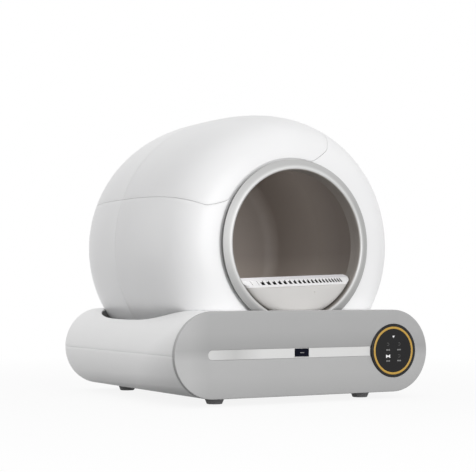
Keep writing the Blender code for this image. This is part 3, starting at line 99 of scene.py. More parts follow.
# Globe. Powers shape a superellipse, and the back shares place rings of points on its flat back.
GLOBE_RADIUS = 0.2665
GLOBE_CREST_SETBACK = 0.3084
GLOBE_FRONT_REACH = 0.2654
GLOBE_REAR_REACH = 0.3007
GLOBE_BACK_SETBACK = 0.5110
GLOBE_BACK_ROUND = 0.012
GLOBE_BACK_SHARES = (0.75, 0.375, 0.09375, 0.0)
GLOBE_WALL = 0.003
GLOBE_JOINT_SETBACK = 0.2940
GLOBE_FRONT_POWERS = (3.09, 8.6)
GLOBE_REAR_POWERS = (3.02, 2.16)
DOOR_EDGE_RADIUS = 0.1655
FLANGE_DEPTH = 0.0026
FLANGE_RADIUS = 0.150
FLANGE_STEP = 0.0005
COVER_HALF_ANGLE = math.radians(46.5)
COVER_TILT = math.radians(23.5)
COVER_EDGE_SHARES = ((0.62, 0.79), (0.638, 0.85), (0.70, 0.942), (0.755, 0.998), (1.10, 1.0))
COVER_SEAM = 0.0007
JOINT_SEAM = 0.0001
GLOBE_EDGE = 0.0002
SKIN_EDGE = 0.0004

# Door
RING_OUTER = 0.1621
RING_INNER = 0.1423
RING_EDGE_SETBACK = 0.0351
RING_LIP_SETBACK = 0.0300
RING_CREST_SHARE = 0.24
RING_UNDERCUT = 0.0030
RING_BAND_CURVE = 1.15
TUNNEL_WALL = 0.003
TUNNEL_EDGE = 0.0006
TUNNEL_FLANGE_RADIUS = 0.160
DRUM_MOUTH_RADIUS = 0.150
DRUM_WALL = 0.003
DRUM_FRONT_ROUND = 0.035
DRUM_BACK_ROUND = 0.032
PORT_HALF_WIDTH = 0.055
PORT_START_SETBACK = 0.315
PORT_END_SETBACK = 0.440
SIEVE_HEIGHT = 0.155

# Guard
GUARD_RADIUS = 0.1391
GUARD_WALL = 0.0025
GUARD_EDGE_SETBACK = 0.0412
GUARD_BULGE = 0.0165
GUARD_DOME_POWERS = (9.0, 2.0)
GUARD_DOME_CROWDING = 3
GUARD_SLOPE = math.radians(34.0)
GUARD_TOP = 0.2385
GUARD_TOP_SETBACK = 0.0555
GUARD_BACK_SETBACK = 0.0820
GUARD_HOOK_SETBACK = 0.0690
GUARD_CORNER = 0.012
GUARD_ROLL = math.radians(2.2)
GUARD_SLOTS = 20
GUARD_BLIND_SLOTS = 2
GUARD_BLIND_DEPTH = 0.0007
GUARD_SLOTS_LEFT = 0.0775
GUARD_SLOTS_SPAN = 0.1765
GUARD_SLOTS_SPREAD_SHARE = 1.42
GUARD_SLOT_WIDTH_SHARE = 0.56
GUARD_SLOT_LENGTH = 0.0123
GUARD_SLOT_SETBACK = 0.0406
GUARD_EDGE = 0.0014
GUARD_LINE = 0.2204
GUARD_SLOTS_REACH = 0.75
# The black sheet under the slots stands in for the shade seen through them: painted shade
SHADE_SHEET_WALL = 0.001
SHADE_SHEET_DROP = 0.006
DIMPLE_PLACE = (0.0323, 0.2078)
DIMPLE_RADIUS = 0.0016

# Base
BASE_WALL = 0.003
REAR_EDGE = 0.003
WELL_GAP = 0.0012
RING_WELL_SETBACK = 0.0270
SCOOP_HALF_WIDTH = 0.2523
SCOOP_HALF_LENGTH = 0.190
SCOOP_SETBACK = 0.275
SCOOP_POWERS = (3.0, 10.8)
WELL_EDGE = 0.0009
BASE_EDGE = 0.0008
BAY_WALL = 0.003
BAY_HALF_WIDTH = 0.1415
BAY_END_GAP = 0.005
MOUTH_HALF_WIDTH = 0.140
MOUTH_HEIGHT = 0.080
POST_RADIUS = 0.004
POST_INSET = 0.009
INLET_HALF = 0.0075

# Feet
FOOT_TAPER = 0.004
FOOT_EDGE = 0.0015
FOOT_STEP = 0.0008
FOOT_COLLAR = 0.004

# Front panel, strip and sensor window
PANEL_EDGE = 0.0015
PANEL_FACE_RADIUS = END_RADIUS - PANEL_EDGE
DISH_DEPTH = 0.0045
STRIP_EDGE = 0.0004
STRIP_RADIUS = 0.0093
SEAM_HALF = 0.00015
WINDOW_RIM = 0.0008
DASH_WIDTH = 0.009
DASH_HEIGHT = 0.0016

# Control disc
LIGHT_OUTER = 0.0468
LIGHT_INNER = 0.0426
LIGHT_DEPTH = 0.0020
GLASS_SINK = 0.0001
POD_EDGE = 0.0012

# Marks on the disc, as (x, z) places from its centre
GLYPH_DEPTH = 0.0001
ARROW = ((-0.0030, 0.0288), (0.0030, 0.0288), (0.0, 0.0246))
BOW = (
    (-0.0180, -0.0074), (-0.0132, -0.0100), (-0.0084, -0.0074),
    (-0.0084, -0.0142), (-0.0132, -0.0116), (-0.0180, -0.0142),
)
ICON_PLACES = ((-0.0135, 0.0125), (0.0135, 0.0125), (0.013, -0.0107))
ICON_OUTER = 0.0030
ICON_INNER = 0.0022
ICON_DEGREES = range(-140, 141, 20)
BAR_PLACES = ((-0.013, 0.0015), (0.013, 0.0015), (-0.0132, -0.020), (0.0132, -0.020))
BAR_SPANS = ((-0.0042, -0.0006), (0.0006, 0.0042))
BAR_HALF_HEIGHT = 0.0013

# Tones of painted light and shade: where they begin and how far they run
RING_TONE_EDGE = 0.0008
RING_BAND_EDGE = 0.0055
PANEL_TONE_LEFT = -0.250
PANEL_TONE_EDGE = 0.040
BASE_TONE_TOP = 0.050
BASE_EDGE_TONE_TOP = 0.030
BASE_TONE_FRONT = 0.16
STRIP_TONE_REACH = 0.115
DRUM_TONE_TOP = 0.290
DRUM_TONE_EDGE = 0.045

# Grain and slow changes of moulded plastic
SLOW_SCALE = 9.0
SLOW_DETAIL = 3.0
GLOSS_SPREAD = 0.1
FINE_DETAIL = 2.0
GRAIN_HEIGHT = 0.0005
GLOW_ROUGHNESS = 0.35
VECTOR_MATH = "ShaderNodeVectorMath"

# Facets, and the angles from which an edge is bevelled or stays sharp
GLOBE_STEPS = 160
COVER_STEPS = GLOBE_STEPS // 4
PROFILE_STEPS = 40
RING_STEPS = 160
DRUM_STEPS = 128
ARC_STEPS = 40
DISH_STEPS = 24
SMALL_STEPS = 32
ROUND_STEPS = 6
WELL_STEPS = 24
BEVEL_ANGLE = math.radians(45.0)
SHARP_ANGLE = math.radians(30.0)
RING_SHARP_ANGLE = math.radians(50.0)
PANEL_SHARP_ANGLE = math.radians(35.0)
MERGE_DISTANCE = 0.000001

# Studio. The floor's glow fades in with the distance, so that the object keeps its shadow.
FLOOR_SIZE = 40.0
FLOOR_ROUGHNESS = 0.9
FLOOR_NEAR = 0.5
FLOOR_FAR = 1.6
FLOOR_GLOW_NEAR = 0.88
FLOOR_LIT = 0.45
FLOOR_SEEN = 0.95
WORLD_STRENGTH = 0.645
OBJECT_MIDDLE = (0.0, 0.0, 0.3)

# Lamps: name, place, target, size and power
LAMPS = (
    ("front_light", (0.0, -3.2, 0.7), OBJECT_MIDDLE, 1.8, 49.0),
    ("side_light", (-1.6, -2.9, 0.5), OBJECT_MIDDLE, 1.8, 7.5),
    ("back_light", (0.0, 2.2, 2.2), OBJECT_MIDDLE, 1.8, 2.0),
    ("rim_light", (-2.6, 2.0, 0.9), OBJECT_MIDDLE, 1.8, 9.0),
    ("door_light", (-0.02, -0.12, 0.455), (-0.06, 0.2, 0.14), 0.10, 0.38),
)


def back(setback):
    """The Y of a place that lies this far behind the front panel's face."""
    return FRONT + setback


# Materials
def grey(level):
    return (level, level, level)


def fill(tree, node, inputs):
    """Sets a node's inputs, or links them where the value is another node's output."""
    for name, value in inputs.items():
        if isinstance(value, bpy.types.NodeSocket):
            tree.links.new(value, node.inputs[name])
        else:
            node.inputs[name].default_value = value
    return node


def new_node(tree, kind, inputs, operation=None):
    """A node with its inputs filled, and its operation where it has one."""
    node = tree.nodes.new(kind)
    if operation:
        node.operation = operation
    return fill(tree, node, inputs)


def new_material(name):
    """A material with its node tree and its shader."""
    material = bpy.data.materials.new(name)
    material.use_nodes = True
    return material, material.node_tree, material.node_tree.nodes["Principled BSDF"]


def moulded(name, colour, roughness, grain=900.0, bump=0.02, mottle=0.03, metallic=0.0, shine=0.5):
    """Moulded plastic: a fine grain in the bump, and slow changes in colour and gloss."""
    material, tree, shader = new_material(name)
    place = new_node(tree, "ShaderNodeTexCoord", {}).outputs["Object"]
    slow = new_node(tree, "ShaderNodeTexNoise", {
        "Vector": place, "Scale": SLOW_SCALE, "Detail": SLOW_DETAIL,
    }).outputs["Fac"]
    tint = new_node(tree, "ShaderNodeMixRGB", {
        "Fac": slow,
        "Color1": (*[c * (1 - mottle) for c in colour], 1.0),
        "Color2": (*[min(c * (1 + mottle), 1.0) for c in colour], 1.0),
    })
    gloss = new_node(tree, "ShaderNodeMapRange", {
        "Value": slow,
        "To Min": roughness * (1 - GLOSS_SPREAD),
        "To Max": roughness * (1 + GLOSS_SPREAD),
    })
    fine = new_node(tree, "ShaderNodeTexNoise", {
        "Vector": place, "Scale": grain, "Detail": FINE_DETAIL,
    })
    relief = new_node(tree, "ShaderNodeBump", {
        "Height": fine.outputs["Fac"], "Strength": bump, "Distance": GRAIN_HEIGHT,
    })
    fill(tree, shader, {
        "Base Color": tint.outputs["Color"],
        "Metallic": metallic,
        "Roughness": gloss.outputs["Result"],
        "Specular IOR Level": shine,
        "Normal": relief.outputs["Normal"],
    })
    return material


def toned(material, tone, start, end, along):
    """Multiplies a material by a tone that comes in from a start to an end.

    Both are measured along a direction, or out from the drum's axis where that is None.
    """
    tree = material.node_tree
    colour = tree.nodes["Principled BSDF"].inputs["Base Color"]
    place = new_node(tree, "ShaderNodeTexCoord", {}).outputs["Object"]
    if along is None:
        offset = new_node(tree, VECTOR_MATH, {0: place, 1: AXIS}, "SUBTRACT").outputs[0]
        across = new_node(tree, VECTOR_MATH, {0: offset, 1: (1.0, 0.0, 1.0)}, "MULTIPLY").outputs[0]
        measure = new_node(tree, VECTOR_MATH, {0: across}, "LENGTH")
    else:
        measure = new_node(tree, VECTOR_MATH, {0: place, 1: along}, "DOT_PRODUCT")
    share = new_node(tree, "ShaderNodeMapRange", {
        "Value": measure.outputs["Value"], "From Min": start, "From Max": end,
    })
    mix = new_node(tree, "ShaderNodeMixRGB", {
        "Fac": share.outputs["Result"],
        "Color1": colour.links[0].from_socket,
        "Color2": (*tone, 1.0),
    })
    mix.blend_type = "MULTIPLY"
    tree.links.new(mix.outputs["Color"], colour)


def glowing(name, colour, strength):
    """A light guide or lit mark: moulded, with a glow that shows in daylight."""
    material = moulded(name, colour, GLOW_ROUGHNESS, mottle=0.01, bump=0.0)
    shader = material.node_tree.nodes["Principled BSDF"]
    fill(material.node_tree, shader, {
        "Emission Color": (*colour, 1.0), "Emission Strength": strength,
    })
    return material


WHITE = moulded("white_gloss_plastic", (0.86, 0.86, 0.865), 0.34)
# The rear half's white is a lighter copy of the front's: painted light for the lighter shade behind
# the joint
WHITE_REAR_LIT = moulded("white_rear_painted_light", (0.90, 0.90, 0.905), 0.34)
WHITE_GUARD = moulded("white_guard_plastic", (0.88, 0.875, 0.88), 0.38)
PALE = moulded("pale_satin_plastic", grey(0.98), 0.42, bump=0.04)
GREY = moulded("grey_satin_plastic", grey(0.455), 0.46, bump=0.05)
# The panel's rim has its own copy of the grey, so that painted shade can darken it towards the
# bottom
PANEL_RIM_SHADE = moulded("grey_rim_painted_shade", grey(0.50), 0.50, bump=0.05)
STRIP_WHITE = moulded("strip_satin_plastic", (0.70, 0.70, 0.695), 0.34)
SILVER = moulded("silver_lacquer", (0.58, 0.58, 0.575), 0.40, metallic=0.25, bump=0.01)
# The door flange is near white; painted shade greys it towards the ring
FLANGE_SHADED = moulded("flange_painted_shade", grey(0.92), 0.50, bump=0.04)
TUNNEL_GREY = moulded("tunnel_plastic", (0.310, 0.285, 0.262), 0.50, bump=0.04)
DRUM_BROWN = moulded("drum_plastic", (0.350, 0.311, 0.283), 0.50, bump=0.05, shine=0.3)
LINER = moulded("liner_rubber", (0.350, 0.315, 0.290), 0.60, bump=0.08, shine=0.3)
SLOT_SHADE = moulded("slot_shade_plastic", (0.06, 0.058, 0.056), 0.5)
BLACK = moulded("black_gloss_plastic", (0.010, 0.010, 0.011), 0.22, bump=0.0, mottle=0.05,
                shine=0.3)
NAVY = moulded("window_gloss_plastic", (0.003, 0.004, 0.011), 0.12, bump=0.0, shine=0.06)
DISC_GLASS = moulded("disc_gloss_plastic", (0.010, 0.010, 0.0105), 0.20, bump=0.0, mottle=0.1,
                     shine=0.22)
AMBER = glowing("amber_light_guide", (0.45, 0.27, 0.042), 0.15)
MARK = glowing("lit_mark", (0.75, 0.75, 0.76), 0.25)
DIM_MARK = moulded("printed_mark", grey(0.22), 0.5, bump=0.0)
FAINT_MARK = moulded("faint_mark", grey(0.07), 0.5, bump=0.0)
RUBBER = moulded("foot_rubber", (0.225, 0.225, 0.227), 0.7, grain=500.0, bump=0.15)
ROLLER_RUBBER = moulded("roller_rubber", (0.04, 0.04, 0.042), 0.75, grain=500.0, bump=0.15)
GEAR = moulded("gear_plastic", (0.60, 0.58, 0.53), 0.45, bump=0.05)
STEEL = moulded("plain_steel", (0.56, 0.56, 0.58), 0.32, grain=300.0, bump=0.05, metallic=0.9)
BOARD = moulded("circuit_board_green", (0.02, 0.15, 0.06), 0.45, grain=400.0, bump=0.1)


def tone_pieces():
    """Painted light and shade by place: a material, its tone, where that starts and ends, and the
    direction.
    """
    crest = RING_INNER + (RING_OUTER - RING_INNER) * RING_CREST_SHARE
    bore_edge = RING_INNER + RING_TONE_EDGE
    edge = back(RING_EDGE_SETBACK)
    guard_up = (-math.sin(GUARD_ROLL), 0.0, math.cos(GUARD_ROLL))
    line = GUARD_LINE + AXIS.z * (math.cos(GUARD_ROLL) - 1)
    behind = back(GUARD_SLOT_SETBACK + GUARD_SLOT_LENGTH / 2)
    middle = (STRIP_LOW.z + STRIP_HIGH.z) / 2
    half = (STRIP_HIGH.z - STRIP_LOW.z) / 2
    above = middle + PANEL_TONE_EDGE
    below = middle - 2 * PANEL_TONE_EDGE
    under = (0.0, -0.03, -1.0)
    front_foot = (0.0, -1.0, -1.5)
    reach = STRIP_LOW.x + STRIP_TONE_REACH
    halfway = STRIP_LOW.x + STRIP_TONE_REACH / 2
    tones = [
        # Painted light and shade on the ring: its band darker than its crest, its bore and rear
        # edge dark, its top light, its foot dark
        (SILVER, grey(0.70), crest, crest + RING_BAND_EDGE, None),
        (SILVER, (0.60, 0.56, 0.52), bore_edge + RING_TONE_EDGE, bore_edge, None),
        (SILVER, grey(0.55), edge + RUN_GAP, edge + 2 * RUN_GAP, REARWARD),
        (SILVER, grey(1.16), AXIS.z + RING_INNER / 2, AXIS.z + RING_INNER, UPWARD),
        (SILVER, grey(0.82), AXIS.z - RING_INNER / 3, AXIS.z - RING_INNER, UPWARD),
        # Painted shade in the groove around the ring
        (FLANGE_SHADED, grey(0.70), DOOR_EDGE_RADIUS, RING_OUTER, None),
        # Painted shade on the guard's front below its edge line, and on its top behind the slots
        (WHITE_GUARD, (0.69, 0.68, 0.66), line, line - RING_TONE_EDGE, guard_up),
        (WHITE_GUARD, (0.84, 0.83, 0.85), behind, behind + RING_TONE_EDGE, REARWARD),
        # Painted light and shade on the dished panel, and painted shade on its rim, darker towards
        # the bottom
        (GREY, grey(0.88), PANEL_TONE_LEFT, PANEL_TONE_LEFT + PANEL_TONE_EDGE, RIGHTWARD),
        (GREY, grey(0.89), above, middle + half, UPWARD),
        (GREY, grey(1.19), middle + half, middle - half, UPWARD),
        (GREY, grey(0.90), middle - PANEL_TONE_EDGE, below, UPWARD),
        (PANEL_RIM_SHADE, grey(0.30), above, below, UPWARD),
        # Painted shade on the base's underside, darkest at its lowest edge, and on its foot towards
        # the front
        (PALE, grey(0.82), -BASE_TONE_TOP, -BASE_EDGE_TONE_TOP, under),
        (PALE, grey(0.13), -BASE_EDGE_TONE_TOP, -BASE_LOW.z, under),
        (PALE, grey(0.72), 0.0, BASE_TONE_FRONT, front_foot),
        # Painted shade on the strip's left part, lifted again by painted light towards its very end
        (STRIP_WHITE, grey(0.76), reach, halfway, RIGHTWARD),
        (STRIP_WHITE, grey(1.22), halfway, STRIP_LOW.x, RIGHTWARD),
    ]
    # Painted light and shade in the drum: lighter low down, darker towards the front
    for lining in (DRUM_BROWN, LINER):
        tones.append((lining, grey(1.30), DRUM_TONE_TOP, DRUM_TONE_TOP - DRUM_TONE_EDGE, UPWARD))
        tones.append((lining, grey(0.78), DRUM_TONE_EDGE, -DRUM_TONE_EDGE, REARWARD))
    for tone in tones:
        toned(*tone)


tone_pieces()


# Shapes
def show(name, bm, material, body, *nodes, slot=None):
    """Makes a piece of the mesh, which rides on a body and may stand for nodes of the frame.

    Without a material it is a plain object: a cutter, or the floor.
    """
    mesh = bpy.data.meshes.new(name)
    bm.to_mesh(mesh)
    bm.free()
    obj = bpy.data.objects.new(name, mesh)
    bpy.context.scene.collection.objects.link(obj)
    if material is None:
        return obj
    mesh.materials.append(material)
    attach(obj, body)
    if nodes:
        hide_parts(*nodes)
    return obj


def settle(obj, angle=SHARP_ANGLE):
    """Applies the modifiers, then shades round faces smooth and leaves real edges sharp."""
    bpy.context.view_layer.update()
    graph = bpy.context.evaluated_depsgraph_get()
    old = obj.data
    obj.data = bpy.data.meshes.new_from_object(obj.evaluated_get(graph))
    obj.data.name = old.name
    obj.modifiers.clear()
    obj.data.shade_smooth()
    obj.data.set_sharp_from_angle(angle=angle)
    return obj


def repaint(obj, material, chosen):
    """Gives the faces that a test picks a second material."""
    obj.data.materials.append(material)
    for face in obj.data.polygons:
        if chosen(face):
            face.material_index = 1


def drop(*tools):
    """Removes cutters once they are used."""
    for tool in tools:
        bpy.data.objects.remove(tool, do_unlink=True)


def cut(obj, *tools, operation="DIFFERENCE"):
    """Adds cutters to a piece. They work when it is settled, and are dropped after that."""
    for tool in tools:
        step = obj.modifiers.new("cut", "BOOLEAN")
        step.operation = operation
        step.solver = "EXACT"
        step.object = tool
    return obj


def bevel(obj, width, steps=2):
    step = obj.modifiers.new("bevel", "BEVEL")
    step.width = width
    step.segments = steps
    step.limit_method = "ANGLE"
    step.angle_limit = BEVEL_ANGLE
    return obj


def solidify(obj, thickness):
    step = obj.modifiers.new("wall", "SOLIDIFY")
    step.thickness = thickness
    step.offset = -1.0
    return obj


def sweep(steps, angle=math.pi / 2):
    """Even steps from no angle to the whole of it, which is a quarter turn where none is given."""
    return [step / steps * angle for step in range(steps + 1)]


def rounded(radius, end, rounding, towards=1, steps=ROUND_STEPS):
    """Points of a round corner from a flat end, at y or z, out to a side of this radius."""
    return [
        (
            radius - rounding * (1 - math.sin(angle)),
            end + towards * rounding * (1 - math.cos(angle)),
        )
        for angle in sweep(steps)
    ]


def grid_mesh(rows, closed=False):
    """A mesh through rows of points. Where it is closed, each row's last point joins its first."""
    bm = bmesh.new()
    made = [[bm.verts.new(point) for point in row] for row in rows]
    for near, far in zip(made, made[1:]):
        count = len(near) if closed else len(near) - 1
        for index in range(count):
            after = (index + 1) % len(near)
            bm.faces.new((near[index], far[index], far[after], near[after]))
    return bm


def around(radius, y, angle, centre=AXIS):
    """A point round an axis along Y. The angle runs left from straight up, seen from the door."""
    return (centre.x - radius * math.sin(angle), y, centre.z + radius * math.cos(angle))


def around_upright(radius, z, angle, centre):
    """A point round an upright axis."""
    return (centre[0] + radius * math.cos(angle), centre[1] + radius * math.sin(angle), z)


def lathe(profile, steps, centre=AXIS, place=around):
    """A mesh turned about an axis, from (radius, y) points, front to rear, or (radius, z) ones."""
    rows = [
        [place(radius, along, 2 * math.pi * step / steps, centre) for step in range(steps)]
        for radius, along in profile
    ]
    bm = grid_mesh(rows, closed=True)
    bmesh.ops.remove_doubles(bm, verts=bm.verts, dist=MERGE_DISTANCE)
    return bm


def closed_lathe(profile, steps, centre=AXIS):
    """A solid turned from a loop of (radius, y) points."""
    return lathe([*profile, profile[0]], steps, centre)


def outward(bm):
    """Turns all faces to the outside."""
    bmesh.ops.recalc_face_normals(bm, faces=bm.faces)
    return bm


def upright(centre, profile, steps):
    """A solid turned about an upright axis, from (radius, z) points bottom to top."""
    ends = [(0.0, profile[0][1]), *profile, (0.0, profile[-1][1])]
    return outward(lathe(ends, steps, centre, around_upright))


def block_mesh(low, high):
    bm = bmesh.new()
    bmesh.ops.create_cube(bm, size=1)
    bmesh.ops.scale(bm, vec=Vector(high) - Vector(low), verts=bm.verts)
    bmesh.ops.translate(bm, vec=(Vector(high) + Vector(low)) / 2, verts=bm.verts)
    return bm


def roll_mesh(bm, angle):
    """Turns a mesh about the drum's axis, anticlockwise as seen from the door."""
    bmesh.ops.rotate(bm, cent=AXIS, matrix=Matrix.Rotation(-angle, 3, "Y"), verts=bm.verts)
    return bm


def stadium(radius):
    """The base's outline, or one drawn in from it, as (x, z) points."""
    points = []
    for side in (1, -1):
        for step in range(ARC_STEPS + 1):
            angle = side * (step / ARC_STEPS - 0.5) * math.pi
            x = side * (STRAIGHT_HALF + radius * math.cos(angle))
            points.append((x, BODY_MID + radius * math.sin(angle)))
    return points


def stadium_loft(rings):
    """A solid through stadium loops, given as (radius, y) from the back round to the front."""
    bm = grid_mesh([[(x, y, z) for x, z in stadium(radius)] for radius, y in rings], closed=True)
    bm.verts.ensure_lookup_table()
    count = len(stadium(END_RADIUS))
    bm.faces.new(list(bm.verts)[:count])
    bm.faces.new(list(bm.verts)[-count:])
    return outward(bm)


def prism_mesh(points, offset):
    """An outline of points closed into a solid along an offset."""
    bm = bmesh.new()
    face = bm.faces.new([bm.verts.new(point) for point in points])
    grown = bmesh.ops.extrude_face_region(bm, geom=[face])
    moved = [item for item in grown["geom"] if isinstance(item, bmesh.types.BMVert)]
    bmesh.ops.translate(bm, vec=Vector(offset), verts=moved)
    return outward(bm)


def tool(name, bm):
    """A cutter, which goes once it is used."""
    return show(name, bm, None, None)


# Globe
def superellipse(position, reach, powers):
    """How much of its full radius a bulging profile still has at a distance from its crest."""
    return (1 - min(abs(position) / reach, 1) ** powers[0]) ** (1 / powers[1])


def globe_front(first_setback, last_setback, steps, grow=0.0):
    """(radius, y) points of the globe's outside from one setback to another, further back."""
    first = GLOBE_CREST_SETBACK - first_setback
    last = GLOBE_CREST_SETBACK - last_setback
    points = []
    for step in range(steps + 1):
        distance = last + (first - last) * (1 - (step / steps) ** 2)
        share = superellipse(distance, GLOBE_FRONT_REACH + grow, GLOBE_FRONT_POWERS)
        points.append(((GLOBE_RADIUS + grow) * share, back(GLOBE_CREST_SETBACK - distance)))
    return points


def globe_rear(first_setback, steps, grow=0.0):
    """(radius, y) points of the globe's outside from a setback to its back and round onto it."""
    first = first_setback - GLOBE_CREST_SETBACK
    last = GLOBE_BACK_SETBACK - GLOBE_BACK_ROUND - GLOBE_CREST_SETBACK
    points = []
    for step in range(steps + 1):
        distance = first + (last - first) * (1 - (1 - step / steps) ** 2)
        if distance < 0:
            share = superellipse(distance, GLOBE_FRONT_REACH + grow, GLOBE_FRONT_POWERS)
        else:
            share = superellipse(distance, GLOBE_REAR_REACH + grow, GLOBE_REAR_POWERS)
        points.append(((GLOBE_RADIUS + grow) * share, back(GLOBE_CREST_SETBACK + distance)))
    edge_radius, edge_y = points[-1]
    rounding = GLOBE_BACK_ROUND + grow
    for angle in sweep(ROUND_STEPS)[1:]:
        points.append(
            (edge_radius - rounding * (1 - math.cos(angle)), edge_y + rounding * math.sin(angle))
        )
    return points


def door_setback():
    """Where the globe's outside comes down to the door's edge."""
    share = 1 - (DOOR_EDGE_RADIUS / GLOBE_RADIUS) ** GLOBE_FRONT_POWERS[1]
    return GLOBE_CREST_SETBACK - GLOBE_FRONT_REACH * share ** (1 / GLOBE_FRONT_POWERS[0])


def cover_half_angle(radius):
    """Half of the cover's width, as an angle, at a radius. It narrows near the door."""
    share = radius / GLOBE_RADIUS
    for (low, low_share), (high, high_share) in zip(COVER_EDGE_SHARES, COVER_EDGE_SHARES[1:]):
        if share <= high:
            blend = max((share - low) / (high - low), 0.0)
            return COVER_HALF_ANGLE * (low_share + (high_share - low_share) * blend)
    return COVER_HALF_ANGLE


def globe_patch(profile, over_cover):
    """The globe's skin over its profile: the cover's sector, or all the rest."""
    rows = []
    for radius, y in profile:
        half = cover_half_angle(radius)
        gap = COVER_SEAM / 2 / radius
        if over_cover:
            start, end = COVER_TILT - half + gap, COVER_TILT + half - gap
        else:
            start, end = COVER_TILT + half + gap, COVER_TILT - half - gap + 2 * math.pi
        steps = COVER_STEPS if over_cover else GLOBE_STEPS - COVER_STEPS
        rows.append(
            [around(radius, y, start + (end - start) * step / steps) for step in range(steps + 1)]
        )
    return grid_mesh(rows)


def above_deck(bm):
    """Cuts a skin off where it stands on the deck."""
    everything = [*bm.verts, *bm.edges, *bm.faces]
    bmesh.ops.bisect_plane(
        bm,
        geom=everything,
        plane_co=(0, 0, DECK_TOP + SEAT_GAP),
        plane_no=(0, 0, -1),
        clear_outer=True,
    )
    return bm


def make_globe():
    door = door_setback()
    flange = door + FLANGE_DEPTH
    front = globe_front(door, GLOBE_JOINT_SETBACK - JOINT_SEAM / 2, PROFILE_STEPS)
    rear = globe_rear(GLOBE_JOINT_SETBACK + JOINT_SEAM / 2, PROFILE_STEPS)
    back_edge, disc_y = rear[-1]
    for share in GLOBE_BACK_SHARES:
        rear.append((DOOR_EDGE_RADIUS + (back_edge - DOOR_EDGE_RADIUS) * share, disc_y))
    halves = (("front", front, WHITE), ("rear", rear, WHITE_REAR_LIT))
    for label, profile, material in halves:
        skin = show(f"globe_{label}_skin", above_deck(globe_patch(profile, False)), material,
                    "housing", f"globe_{label}_shell", slot="white_plastic")
        settle(bevel(solidify(skin, GLOBE_WALL), GLOBE_EDGE))

    front[0] = (DOOR_EDGE_RADIUS + SEAT_GAP, front[0][1])
    rear[-1] = (DOOR_EDGE_RADIUS + COVER_SEAM, disc_y)
    for label, profile, material in halves:
        skin = show(f"cover_{label}_skin", globe_patch(profile, True), material, "cover",
                    f"globe_cover_{label}", slot="white_plastic")
        settle(bevel(solidify(skin, GLOBE_WALL), GLOBE_EDGE))

    profile = [(0.0, disc_y - GLOBE_WALL), (DOOR_EDGE_RADIUS, disc_y - GLOBE_WALL)]
    profile.extend([(DOOR_EDGE_RADIUS, disc_y), (0.0, disc_y)])
    disc = above_deck(outward(lathe(profile, GLOBE_STEPS)))
    settle(show("globe_back_disc", disc, WHITE_REAR_LIT, "housing", slot="white_plastic"))

    profile = [
        (DOOR_EDGE_RADIUS, back(door)),
        (DOOR_EDGE_RADIUS, back(flange) + GLOBE_WALL),
        (FLANGE_RADIUS, back(flange) + GLOBE_WALL),
        (FLANGE_RADIUS, back(flange)),
        (DOOR_EDGE_RADIUS - FLANGE_STEP, back(flange)),
        (DOOR_EDGE_RADIUS - FLANGE_STEP, back(door)),
    ]
    ring = outward(closed_lathe(profile, RING_STEPS))
    settle(show("door_flange", ring, FLANGE_SHADED, "housing", slot="grey_plastic"))


# Door
def in_bore(face):
    """Whether a face of the ring lies on its bore."""
    across = face.center - AXIS
    return math.hypot(across.x, across.z) < RING_INNER + RUN_GAP / 2


def make_door():
    crest = RING_INNER + (RING_OUTER - RING_INNER) * RING_CREST_SHARE
    lip = back(RING_LIP_SETBACK)
    edge = back(RING_EDGE_SETBACK)
    seat = back(door_setback() + FLANGE_DEPTH) - SEAT_GAP
    depth = edge - lip
    profile = []
    for angle in sweep(2 * ROUND_STEPS):
        profile.append((crest - (crest - RING_INNER) * math.cos(angle),
                        lip + (depth + RUN_GAP) * (1 - math.sin(angle))))
    for share in sweep(3 * ROUND_STEPS, 1.0)[1:]:
        profile.append((crest + (RING_OUTER - crest) * share, lip + depth * share**RING_BAND_CURVE))
    profile.extend([(RING_OUTER - RING_UNDERCUT, seat), (RING_INNER, seat)])
    ring = outward(closed_lathe(profile, RING_STEPS))
    skin = show("entry_ring_skin", ring, SILVER, "housing", "entry_ring", slot="silver_ring")
    settle(skin, RING_SHARP_ANGLE)
    # The ring's bore takes the tunnel's dark grey: painted shade inside the ring
    repaint(skin, TUNNEL_GREY, in_bore)

    outer = RING_INNER + TUNNEL_WALL
    flange = back(door_setback() + FLANGE_DEPTH) + GLOBE_WALL + SEAT_GAP
    profile = [
        (outer, seat + SEAT_GAP),
        (outer, flange),
        (TUNNEL_FLANGE_RADIUS, flange),
        (TUNNEL_FLANGE_RADIUS, flange + TUNNEL_WALL),
        (outer, flange + TUNNEL_WALL),
        (outer, TUNNEL_BACK),
        (RING_INNER + TUNNEL_EDGE, TUNNEL_BACK),
        (RING_INNER, TUNNEL_BACK - TUNNEL_EDGE),
        (RING_INNER, seat + SEAT_GAP),
    ]
    settle(show("entry_tunnel_skin", outward(closed_lathe(profile, RING_STEPS)), TUNNEL_GREY,
                "housing", "entry_tunnel", slot="grey_plastic"))


